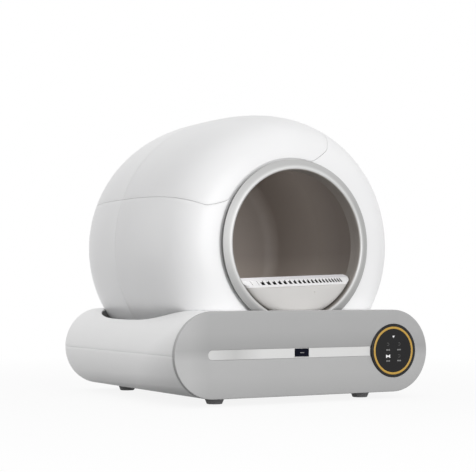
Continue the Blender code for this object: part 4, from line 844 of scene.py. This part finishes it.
# Drum
def make_drum():
    front = DRUM_LOW.y
    joint = DRUM_HIGH.y
    inner = DRUM_RADIUS - DRUM_WALL
    steps = 2 * ROUND_STEPS
    outside = rounded(DRUM_RADIUS, front, DRUM_FRONT_ROUND, 1, steps)
    inside = rounded(inner, front + DRUM_WALL, DRUM_FRONT_ROUND - DRUM_WALL, 1, steps)
    profile = [(DRUM_MOUTH_RADIUS, front), *outside, (DRUM_RADIUS, joint), (inner, joint)]
    profile.extend([*reversed(inside), (DRUM_MOUTH_RADIUS, front + DRUM_WALL)])
    settle(show("drum_front_skin", outward(closed_lathe(profile, DRUM_STEPS)), DRUM_BROWN,
                "drum", "drum_front_shell", slot="drum_plastic"))

    joint += SEAT_GAP
    outside = rounded(DRUM_RADIUS, DRUM_BACK, DRUM_BACK_ROUND, -1, steps)
    inside = rounded(inner, DRUM_BACK - DRUM_WALL, DRUM_BACK_ROUND - DRUM_WALL, -1, steps)
    profile = [(0.0, DRUM_BACK - DRUM_WALL), *inside, (inner, joint), (DRUM_RADIUS, joint)]
    profile.extend([*reversed(outside), (0.0, DRUM_BACK)])
    rear = show("drum_rear_skin", outward(lathe(profile, DRUM_STEPS)), DRUM_BROWN,
                "drum", "drum_rear_shell", slot="drum_plastic")
    port = tool("port_tool", block_mesh(
        (-PORT_HALF_WIDTH, back(PORT_START_SETBACK), AXIS_HEIGHT + SIEVE_HEIGHT),
        (PORT_HALF_WIDTH, back(PORT_END_SETBACK), AXIS_HEIGHT + GLOBE_RADIUS),
    ))
    settle(cut(rear, port))
    drop(port)


# Guard
def guard_solid(shrink, end):
    """The guard's domed and round solid, drawn in by a wall, as a turned mesh."""
    radius = GUARD_RADIUS - shrink
    hook_radius = DRUM_MOUTH_RADIUS - SEAT_GAP - shrink
    profile = []
    for step in sweep(3 * ROUND_STEPS, 1.0):
        share = 1 - (1 - step) ** GUARD_DOME_CROWDING
        dome = GUARD_BULGE * superellipse(share, 1, GUARD_DOME_POWERS)
        profile.append((radius * share, back(GUARD_EDGE_SETBACK) - dome + shrink))
    profile.append((radius, back(GUARD_HOOK_SETBACK)))
    profile.append((hook_radius, back(GUARD_HOOK_SETBACK) + DRUM_WALL))
    profile.extend([(hook_radius, end), (0.0, end)])
    return outward(lathe(profile, DRUM_STEPS))


def guard_height(setback):
    """The height of the guard's sloped top at a setback."""
    return GUARD_TOP - math.tan(GUARD_SLOPE) * (GUARD_TOP_SETBACK - setback)


def guard_below(drop_by, reach):
    """All that lies under the guard's sloped top, lowered, back to a given reach."""
    top = GUARD_TOP - drop_by
    low = AXIS_HEIGHT - DRUM_RADIUS
    start = FRONT - OVERRUN
    left = -GUARD_RADIUS - OVERRUN
    slope_end = guard_height(-OVERRUN) - drop_by
    outline = [(start, slope_end), (back(GUARD_TOP_SETBACK), top), (reach, top), (reach, low)]
    points = [(left, y, z) for y, z in [*outline, (start, low)]]
    return roll_mesh(prism_mesh(points, (-2 * left, 0, 0)), GUARD_ROLL)


def guard_corners(shrink, end):
    """A round cornered space that takes the points off the guard's top left and top right."""
    half = math.sqrt(GUARD_RADIUS**2 - (AXIS_HEIGHT - GUARD_TOP) ** 2) - shrink
    low = (-half, FRONT - OVERRUN, AXIS_HEIGHT - DRUM_RADIUS)
    high = (half, end + 2 * OVERRUN, GUARD_TOP - shrink + SEAT_GAP)
    corners = tool("guard_corner_tool", roll_mesh(block_mesh(low, high), GUARD_ROLL))
    return settle(bevel(corners, GUARD_CORNER - shrink, steps=2 * ROUND_STEPS))


def guard_slot(index):
    """A cutter for a slot in the sloped top. A slot before the first one is shallow and closed."""
    last = GUARD_SLOTS - 1
    more = GUARD_SLOTS_SPREAD_SHARE - 1
    step = index / last
    x = GUARD_SLOTS_SPAN * (GUARD_SLOTS_SPREAD_SHARE * step - more * step**2) - GUARD_SLOTS_LEFT
    pitch = GUARD_SLOTS_SPAN * (GUARD_SLOTS_SPREAD_SHARE - 2 * more * step) / last
    width = GUARD_SLOT_WIDTH_SHARE * pitch
    depth = GUARD_BLIND_DEPTH if index < 0 else OVERRUN
    points = []
    for side, lift in ((-1, OVERRUN), (1, OVERRUN), (1, -depth), (-1, -depth)):
        setback = GUARD_SLOT_SETBACK + side * GUARD_SLOT_LENGTH / 2
        points.append((x - width / 2, back(setback), guard_height(setback) + lift))
    slot = roll_mesh(prism_mesh(points, (width, 0, 0)), GUARD_ROLL)
    return tool(f"guard_slot_tool_{index}", slot)


def in_slot(face):
    """Whether a face of the guard is a side of one of its slots."""
    across = abs(face.normal.x) > abs(face.normal.y) + abs(face.normal.z)
    near_middle = abs(face.center.x) < GUARD_RADIUS * GUARD_SLOTS_REACH
    return across and near_middle and face.center.z > GUARD_LINE


def make_guard():
    end = back(GUARD_BACK_SETBACK)
    guard = show("step_guard_skin", guard_solid(0.0, end), WHITE_GUARD, "drum", "step_guard",
                 slot="white_plastic")
    body = tool("guard_body_tool", guard_below(0.0, end))
    corners = guard_corners(0.0, end)
    cut(guard, body, corners, operation="INTERSECT")
    bevel(guard, GUARD_EDGE, steps=3)
    pocket = tool("guard_pocket_tool", guard_solid(GUARD_WALL, end + OVERRUN))
    room = tool("guard_room_tool", guard_below(GUARD_WALL / math.cos(GUARD_SLOPE), end + OVERRUN))
    inner_corners = guard_corners(GUARD_WALL, end)
    settle(cut(pocket, room, inner_corners, operation="INTERSECT"))
    slots = [guard_slot(index) for index in range(-GUARD_BLIND_SLOTS, GUARD_SLOTS)]
    bm = bmesh.new()
    bmesh.ops.create_icosphere(bm, subdivisions=3, radius=DIMPLE_RADIUS)
    face = back(GUARD_EDGE_SETBACK) - GUARD_BULGE
    bmesh.ops.translate(bm, vec=(DIMPLE_PLACE[0], face, DIMPLE_PLACE[1]), verts=bm.verts)
    dimple = tool("guard_dimple_tool", bm)
    settle(cut(guard, pocket, dimple, *slots))
    repaint(guard, SLOT_SHADE, in_slot)
    drop(body, corners, pocket, room, inner_corners, dimple, *slots)

    # A black sheet under the slots stands in for the shade seen through them: painted shade, not a
    # part of the guard
    under = GUARD_WALL / math.cos(GUARD_SLOPE) + SEAT_GAP
    near = GUARD_SLOT_SETBACK - GUARD_SLOT_LENGTH / 2
    far = GUARD_SLOT_SETBACK + GUARD_SLOT_LENGTH / 2
    left = -GUARD_SLOTS_LEFT - SHADE_SHEET_DROP
    inner_far = far - SHADE_SHEET_WALL
    section = [(near, 0.0), (far, 0.0), (far, SHADE_SHEET_DROP), (inner_far, SHADE_SHEET_DROP),
               (inner_far, 2 * SHADE_SHEET_WALL), (near, SHADE_SHEET_WALL)]
    points = [(left, back(setback), guard_height(setback) - under - deeper)
              for setback, deeper in section]
    shade_sheet = roll_mesh(prism_mesh(points, (GUARD_SLOTS_SPAN + 2 * SHADE_SHEET_DROP, 0, 0)), GUARD_ROLL)
    show("slot_shade_sheet", shade_sheet, BLACK, "drum", slot="black_gloss")


# Base
def make_base():
    rings = [
        (END_RADIUS - REAR_EDGE, REAR),
        (END_RADIUS, REAR - REAR_EDGE),
        (END_RADIUS, BODY_FRONT + BASE_EDGE),
        (END_RADIUS - BASE_EDGE, BODY_FRONT),
    ]
    inner = END_RADIUS - BASE_WALL
    wide = BASE_HIGH.x + OVERRUN
    hollow = tool("hollow_tool",
                  stadium_loft([(inner, REAR - BASE_WALL), (inner, BODY_FRONT + BASE_WALL)]))
    below = tool("below_tool", block_mesh((-wide, FRONT - OVERRUN, -OVERRUN),
                                          (wide, REAR + OVERRUN, BODY_MID + SEAM_HALF)))
    above = tool("above_tool", block_mesh((-wide, FRONT - OVERRUN, BODY_MID - SEAM_HALF),
                                          (wide, REAR + OVERRUN, BODY_TOP + OVERRUN)))
    door = door_setback()
    ring_well = DOOR_EDGE_RADIUS + WELL_GAP
    profile = [(0.0, back(RING_WELL_SETBACK)), (ring_well, back(RING_WELL_SETBACK))]
    profile.append((ring_well, back(door) - WELL_GAP))
    profile.extend(globe_front(door + WELL_GAP, GLOBE_CREST_SETBACK, WELL_STEPS, WELL_GAP)[:-1])
    profile.extend(globe_rear(GLOBE_CREST_SETBACK, WELL_STEPS, WELL_GAP))
    profile.append((0.0, profile[-1][1]))
    well = tool("well_tool", outward(lathe(profile, RING_STEPS)))
    outline = []
    for side in (1, -1):
        for step in range(-SMALL_STEPS, SMALL_STEPS + 1):
            along = SCOOP_HALF_LENGTH * math.sin(step / SMALL_STEPS * math.pi / 2)
            width = SCOOP_HALF_WIDTH * superellipse(along, SCOOP_HALF_LENGTH, SCOOP_POWERS)
            if width > 0:
                outline.append((side * width, back(SCOOP_SETBACK) + side * along, BODY_MID))
    scoops = tool("scoop_tool", prism_mesh(outline, (0, 0, END_RADIUS + OVERRUN)))
    upper = show("base_upper_skin", stadium_loft(rings), PALE, "housing", "base_upper_shell",
                 slot="pale_plastic")
    settle(bevel(cut(upper, hollow, below, scoops, well), WELL_EDGE, steps=3))

    mouth = tool("mouth_tool", block_mesh((-MOUTH_HALF_WIDTH, FRONT, PANEL_LOW.z + BASE_WALL),
                                          (MOUTH_HALF_WIDTH, BODY_FRONT + OVERRUN, MOUTH_HEIGHT)))
    half = INLET_HALF + RUN_GAP
    centre = (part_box("power_inlet")[0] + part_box("power_inlet")[1]) / 2
    inlet = tool("inlet_tool", block_mesh((centre.x - half, REAR - OVERRUN, centre.z - half),
                                          (centre.x + half, REAR + OVERRUN, centre.z + half)))
    lower = show("base_lower_skin", stadium_loft(rings), PALE, "housing", "base_lower_shell",
                 slot="pale_plastic")
    cut(lower, hollow, above, mouth, inlet)
    bevel(lower, BASE_EDGE / 2)
    floor_top = PANEL_LOW.z + BASE_WALL
    added = []
    for side in (-1, 1):
        edges = sorted((side * BAY_HALF_WIDTH, side * (BAY_HALF_WIDTH + BAY_WALL)))
        low = (edges[0], BODY_FRONT + BASE_WALL + SEAT_GAP, floor_top - BASE_WALL / 2)
        high = (edges[1], BIN_HIGH.y + BAY_END_GAP, DECK_LOW.z - SEAT_GAP)
        added.append(tool("bay_wall_tool", block_mesh(low, high)))
    for x in (BOARD_LOW.x + POST_INSET, BOARD_HIGH.x - POST_INSET):
        for y in (BOARD_LOW.y + POST_INSET, BOARD_HIGH.y - POST_INSET):
            post = upright((x, y), [(POST_RADIUS, floor_top - BASE_WALL / 2),
                                    (POST_RADIUS, BOARD_LOW.z - SEAT_GAP)], SMALL_STEPS)
            added.append(tool("post_tool", post))
    settle(cut(lower, *added, operation="UNION"))
    drop(hollow, below, above, well, scoops, mouth, inlet, *added)


def make_feet():
    for name in ("foot_front_left", "foot_front_right", "foot_rear_left", "foot_rear_right"):
        low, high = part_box(name)
        centre = ((low.x + high.x) / 2, (low.y + high.y) / 2)
        top = (high.x - low.x) / 2
        bottom = top - FOOT_TAPER
        profile = rounded(bottom, low.z, FOOT_EDGE)
        profile.append((top - FOOT_STEP, high.z - FOOT_COLLAR))
        profile.append((top, high.z - FOOT_COLLAR + FOOT_STEP))
        profile.append((top, high.z))
        settle(show(f"{name}_skin", upright(centre, profile, 2 * SMALL_STEPS), RUBBER, "housing",
                    name, slot="foot_rubber"))


# Front panel, strip and sensor window
def dish_depth(radius):
    """How far the panel's face lies behind its rim, at an outline drawn in to this radius."""
    drawn_in = (PANEL_FACE_RADIUS - radius) / (PANEL_FACE_RADIUS - STRIP_RADIUS)
    return DISH_DEPTH * drawn_in**2


def in_rim(face):
    """Whether a face of the panel lies on its outer edge."""
    along = max(abs(face.center.x) - STRAIGHT_HALF, 0.0)
    out = math.hypot(along, face.center.z - BODY_MID)
    return out > END_RADIUS - PANEL_EDGE / 2 and face.center.y > FRONT + PANEL_EDGE / 2


def make_front():
    floor = STRIP_RADIUS + SEAT_GAP
    rings = [(END_RADIUS - STRIP_EDGE, PANEL_BACK), (END_RADIUS, PANEL_BACK - STRIP_EDGE)]
    for angle in sweep(ROUND_STEPS):
        rings.append((PANEL_FACE_RADIUS + PANEL_EDGE * math.cos(angle),
                      FRONT + PANEL_EDGE * (1 - math.sin(angle))))
    for step in range(1, DISH_STEPS + 1):
        radius = PANEL_FACE_RADIUS + (floor - PANEL_FACE_RADIUS) * step / DISH_STEPS
        rings.append((radius, FRONT + dish_depth(radius)))
    rings.append((floor, STRIP_HIGH.y + SEAT_GAP))
    panel = show("front_panel_skin", stadium_loft(rings), GREY, "drawer", "front_panel",
                 slot="grey_plastic")
    start, end = FRONT - OVERRUN, PANEL_BACK + OVERRUN
    hole_radius = POD_RADIUS + RUN_GAP
    profile = [(0.0, start), (hole_radius, start), (hole_radius, end), (0.0, end)]
    pod_hole = tool("pod_tool", outward(lathe(profile, RING_STEPS, POD_CENTRE)))
    window_low = (WINDOW_LOW.x - RUN_GAP, start, WINDOW_LOW.z - RUN_GAP)
    window_right = WINDOW_HIGH.x + RUN_GAP
    window_hole = tool("window_tool", block_mesh(
        window_low, (window_right, end, BODY_MID + STRIP_RADIUS + RUN_GAP)))
    settle(bevel(cut(panel, pod_hole, window_hole), SKIN_EDGE), PANEL_SHARP_ANGLE)
    # The rim's faces take the rim's copy of the grey, which painted shade darkens towards the
    # bottom
    repaint(panel, PANEL_RIM_SHADE, in_rim)

    rings = [
        (STRIP_RADIUS, STRIP_HIGH.y),
        (STRIP_RADIUS, STRIP_LOW.y + STRIP_EDGE),
        (STRIP_RADIUS - STRIP_EDGE, STRIP_LOW.y),
    ]
    strip = show("strip_skin", stadium_loft(rings), STRIP_WHITE, "drawer", "strip_trim",
                 slot="white_plastic")
    right = tool("right_tool", block_mesh((POD_CENTRE.x, start, PANEL_LOW.z),
                                          (BASE_HIGH.x, end, PANEL_HIGH.z)))
    notch = tool("notch_tool", block_mesh(
        window_low, (window_right, end, WINDOW_HIGH.z + STRIP_EDGE)))
    settle(cut(strip, pod_hole, right, notch))
    drop(pod_hole, window_hole, right, notch)

    window = show("sensor_window_skin", block_mesh(WINDOW_LOW, WINDOW_HIGH), NAVY, "housing",
                  "sensor_window", slot="window_gloss")
    settle(bevel(window, 2 * SKIN_EDGE, steps=4))
    low = (WINDOW_LOW.x, WINDOW_LOW.y - WINDOW_RIM / 2, WINDOW_LOW.z - WINDOW_RIM / 2)
    high = (WINDOW_HIGH.x, WINDOW_LOW.y + WINDOW_RIM, WINDOW_LOW.z + WINDOW_RIM / 2)
    settle(bevel(show("window_rim", block_mesh(low, high), SILVER, "housing", slot="silver_ring"),
                 WINDOW_RIM / 4))
    middle = (WINDOW_LOW + WINDOW_HIGH) / 2
    low = (middle.x - DASH_WIDTH / 2, WINDOW_LOW.y - GLYPH_DEPTH, middle.z - DASH_HEIGHT / 2)
    high = (middle.x + DASH_WIDTH / 2, WINDOW_LOW.y + GLYPH_DEPTH, middle.z + DASH_HEIGHT / 2)
    settle(bevel(show("window_mark", block_mesh(low, high), DIM_MARK, "housing",
                      slot="white_plastic"), GLYPH_DEPTH / 2))


# Control disc
def make_disc():
    face = POD_LOW.y
    bezel = LIGHT_OUTER + SEAT_GAP
    floor = face + LIGHT_DEPTH + SEAT_GAP
    profile = [(0.0, floor), (bezel, floor), (bezel, face + SKIN_EDGE), (bezel + SKIN_EDGE, face)]
    profile.extend(rounded(POD_RADIUS, face, POD_EDGE))
    profile.extend([(POD_RADIUS, POD_HIGH.y), (0.0, POD_HIGH.y)])
    settle(show("control_pod_skin", outward(lathe(profile, RING_STEPS, POD_CENTRE)), BLACK,
                "housing", "control_pod", slot="black_gloss"))

    top = face + GLASS_SINK
    bottom = floor - SEAT_GAP
    half = (LIGHT_OUTER - LIGHT_INNER) / 2
    profile = [(LIGHT_INNER, bottom)]
    for angle in sweep(2 * ROUND_STEPS, math.pi):
        profile.append((LIGHT_INNER + half * (1 - math.cos(angle)),
                        top + SKIN_EDGE * (1 - math.sin(angle))))
    profile.append((LIGHT_OUTER, bottom))
    settle(show("light_ring_skin", outward(closed_lathe(profile, RING_STEPS, POD_CENTRE)), AMBER,
                "housing", "light_ring", slot="amber_light"))

    edge = LIGHT_INNER - SEAT_GAP
    profile = [(0.0, top), (edge - SKIN_EDGE, top), (edge, top + SKIN_EDGE), (edge, bottom)]
    profile.append((0.0, bottom))
    settle(show("touch_glass_skin", outward(lathe(profile, RING_STEPS, POD_CENTRE)), DISC_GLASS,
                "housing", "touch_glass", slot="window_gloss"))
    make_marks(top)


def make_marks(top):
    """A lit arrow and bow, three faint open rings, and two short bars under each but the arrow."""
    def mark(name, points, material):
        outline = [(POD_CENTRE.x + x, top, POD_CENTRE.z + z) for x, z in points]
        settle(show(name, prism_mesh(outline, (0, -GLYPH_DEPTH, 0)), material, "housing",
                    slot="white_plastic"))

    mark("mark_arrow", ARROW, MARK)
    arc = [(ICON_OUTER, degrees) for degrees in ICON_DEGREES]
    arc += [(ICON_INNER, degrees) for degrees in reversed(ICON_DEGREES)]
    for index, (x, z) in enumerate(ICON_PLACES):
        outline = [(x + radius * math.cos(math.radians(degrees)),
                    z + radius * math.sin(math.radians(degrees))) for radius, degrees in arc]
        mark(f"mark_icon_{index}", outline, FAINT_MARK)
    mark("mark_bow", BOW, MARK)
    for index, (x, z) in enumerate(BAR_PLACES):
        low, high = z - BAR_HALF_HEIGHT, z + BAR_HALF_HEIGHT
        for part, (left, right) in enumerate(BAR_SPANS):
            outline = [(x + left, low), (x + right, low), (x + right, high), (x + left, high)]
            mark(f"mark_bar_{index}_{part}", outline, DIM_MARK)


# Hidden pieces
def dress_hidden():
    """Hidden pieces keep their solids and get the first material whose key starts their name."""
    by_name = {
        "deck_plate": PALE, "waste_funnel": PALE, "waste_bin": GREY, "bin_rail": STEEL,
        "litter_liner": LINER, "sieve_screen": WHITE_GUARD, "pocket_divider": WHITE_GUARD,
        "ring_gear": GEAR, "drive_pinion": GEAR, "gearbox_case": GREY, "motor_can": STEEL,
        "motor_bracket": STEEL, "roller_bracket": GEAR, "roller_": ROLLER_RUBBER,
        "sensor_board": BOARD, "control_board": BOARD, "main_board": BOARD, "power_inlet": BLACK,
    }
    for name, node in frame["nodes"].items():
        for start, material in by_name.items():
            if name.startswith(start):
                node.data.materials.clear()
                node.data.materials.append(material)
                break


# Floor, light and camera
def seen_rays(tree):
    """1 for camera, glossy and transmission rays, which see plain white, and 0 for all others."""
    ray = new_node(tree, "ShaderNodeLightPath", {})
    seen = ray.outputs["Is Camera Ray"]
    for kind in ("Is Glossy Ray", "Is Transmission Ray"):
        either = new_node(tree, "ShaderNodeMath", {0: seen, 1: ray.outputs[kind]}, "MAXIMUM")
        seen = either.outputs[0]
    return seen


def blend(tree, share, first, second, output):
    """Joins two shaders by a share and gives them to the output."""
    mix = new_node(tree, "ShaderNodeMixShader", {"Fac": share, 1: first, 2: second})
    tree.links.new(mix.outputs["Shader"], output.inputs["Surface"])


def make_stage():
    bm = bmesh.new()
    bmesh.ops.create_grid(bm, x_segments=1, y_segments=1, size=FLOOR_SIZE / 2)
    floor = show("studio_floor", bm, None, None)
    material, tree, shader = new_material("studio_floor_white")
    floor.data.materials.append(material)
    seen = seen_rays(tree)
    colour = new_node(tree, "ShaderNodeMixRGB", {
        "Fac": seen, "Color1": (*grey(FLOOR_LIT), 1.0), "Color2": (*grey(FLOOR_SEEN), 1.0),
    })
    fill(tree, shader, {
        "Base Color": colour.outputs["Color"],
        "Roughness": FLOOR_ROUGHNESS,
        "Specular IOR Level": 0.0,
    })
    place = new_node(tree, "ShaderNodeNewGeometry", {}).outputs["Position"]
    distance = new_node(tree, VECTOR_MATH, {0: place}, "LENGTH").outputs["Value"]
    fade = new_node(tree, "ShaderNodeMapRange", {
        "Value": distance, "From Min": FLOOR_NEAR, "From Max": FLOOR_FAR,
        "To Min": FLOOR_GLOW_NEAR,
    })
    share = new_node(tree, "ShaderNodeMath", {0: fade.outputs["Result"], 1: seen}, "MULTIPLY")
    glow = new_node(tree, "ShaderNodeEmission", {"Color": (1.0, 1.0, 1.0, 1.0), "Strength": 1.0})
    blend(tree, share.outputs[0], shader.outputs["BSDF"], glow.outputs["Emission"],
          tree.nodes["Material Output"])


def make_world():
    world = bpy.data.worlds.new("studio")
    bpy.context.scene.world = world
    world.use_nodes = True
    tree = world.node_tree
    white = (1.0, 1.0, 1.0, 1.0)
    lit = fill(tree, tree.nodes["Background"], {"Color": white, "Strength": WORLD_STRENGTH})
    shown = new_node(tree, "ShaderNodeBackground", {"Color": white, "Strength": 1.0})
    blend(tree, seen_rays(tree), lit.outputs["Background"], shown.outputs["Background"],
          tree.nodes["World Output"])


def make_lamp(name, place, target, size, power):
    """A square lamp that faces its target."""
    lamp = bpy.data.lights.new(name, "AREA")
    lamp.size = size
    lamp.energy = power
    obj = bpy.data.objects.new(name, lamp)
    obj.location = place
    obj.rotation_euler = (Vector(target) - Vector(place)).to_track_quat("-Z", "Y").to_euler()
    bpy.context.scene.collection.objects.link(obj)


def make_camera():
    data = bpy.data.cameras.new("photo_camera")
    data.sensor_width = SENSOR_WIDTH
    data.lens = FOCAL_PIXELS / PHOTO_WIDTH * SENSOR_WIDTH
    camera = bpy.data.objects.new("photo_camera", data)
    camera.location = CAMERA_PLACE
    camera.rotation_euler = (math.pi / 2 + CAMERA_PITCH, 0.0, -CAMERA_YAW)
    bpy.context.scene.collection.objects.link(camera)
    bpy.context.scene.camera = camera
    bpy.context.scene.view_settings.view_transform = "Standard"


make_globe()
make_door()
make_drum()
make_guard()
make_base()
make_feet()
make_front()
make_disc()
dress_hidden()
make_stage()
make_world()
for lamp_row in LAMPS:
    make_lamp(*lamp_row)
make_camera()
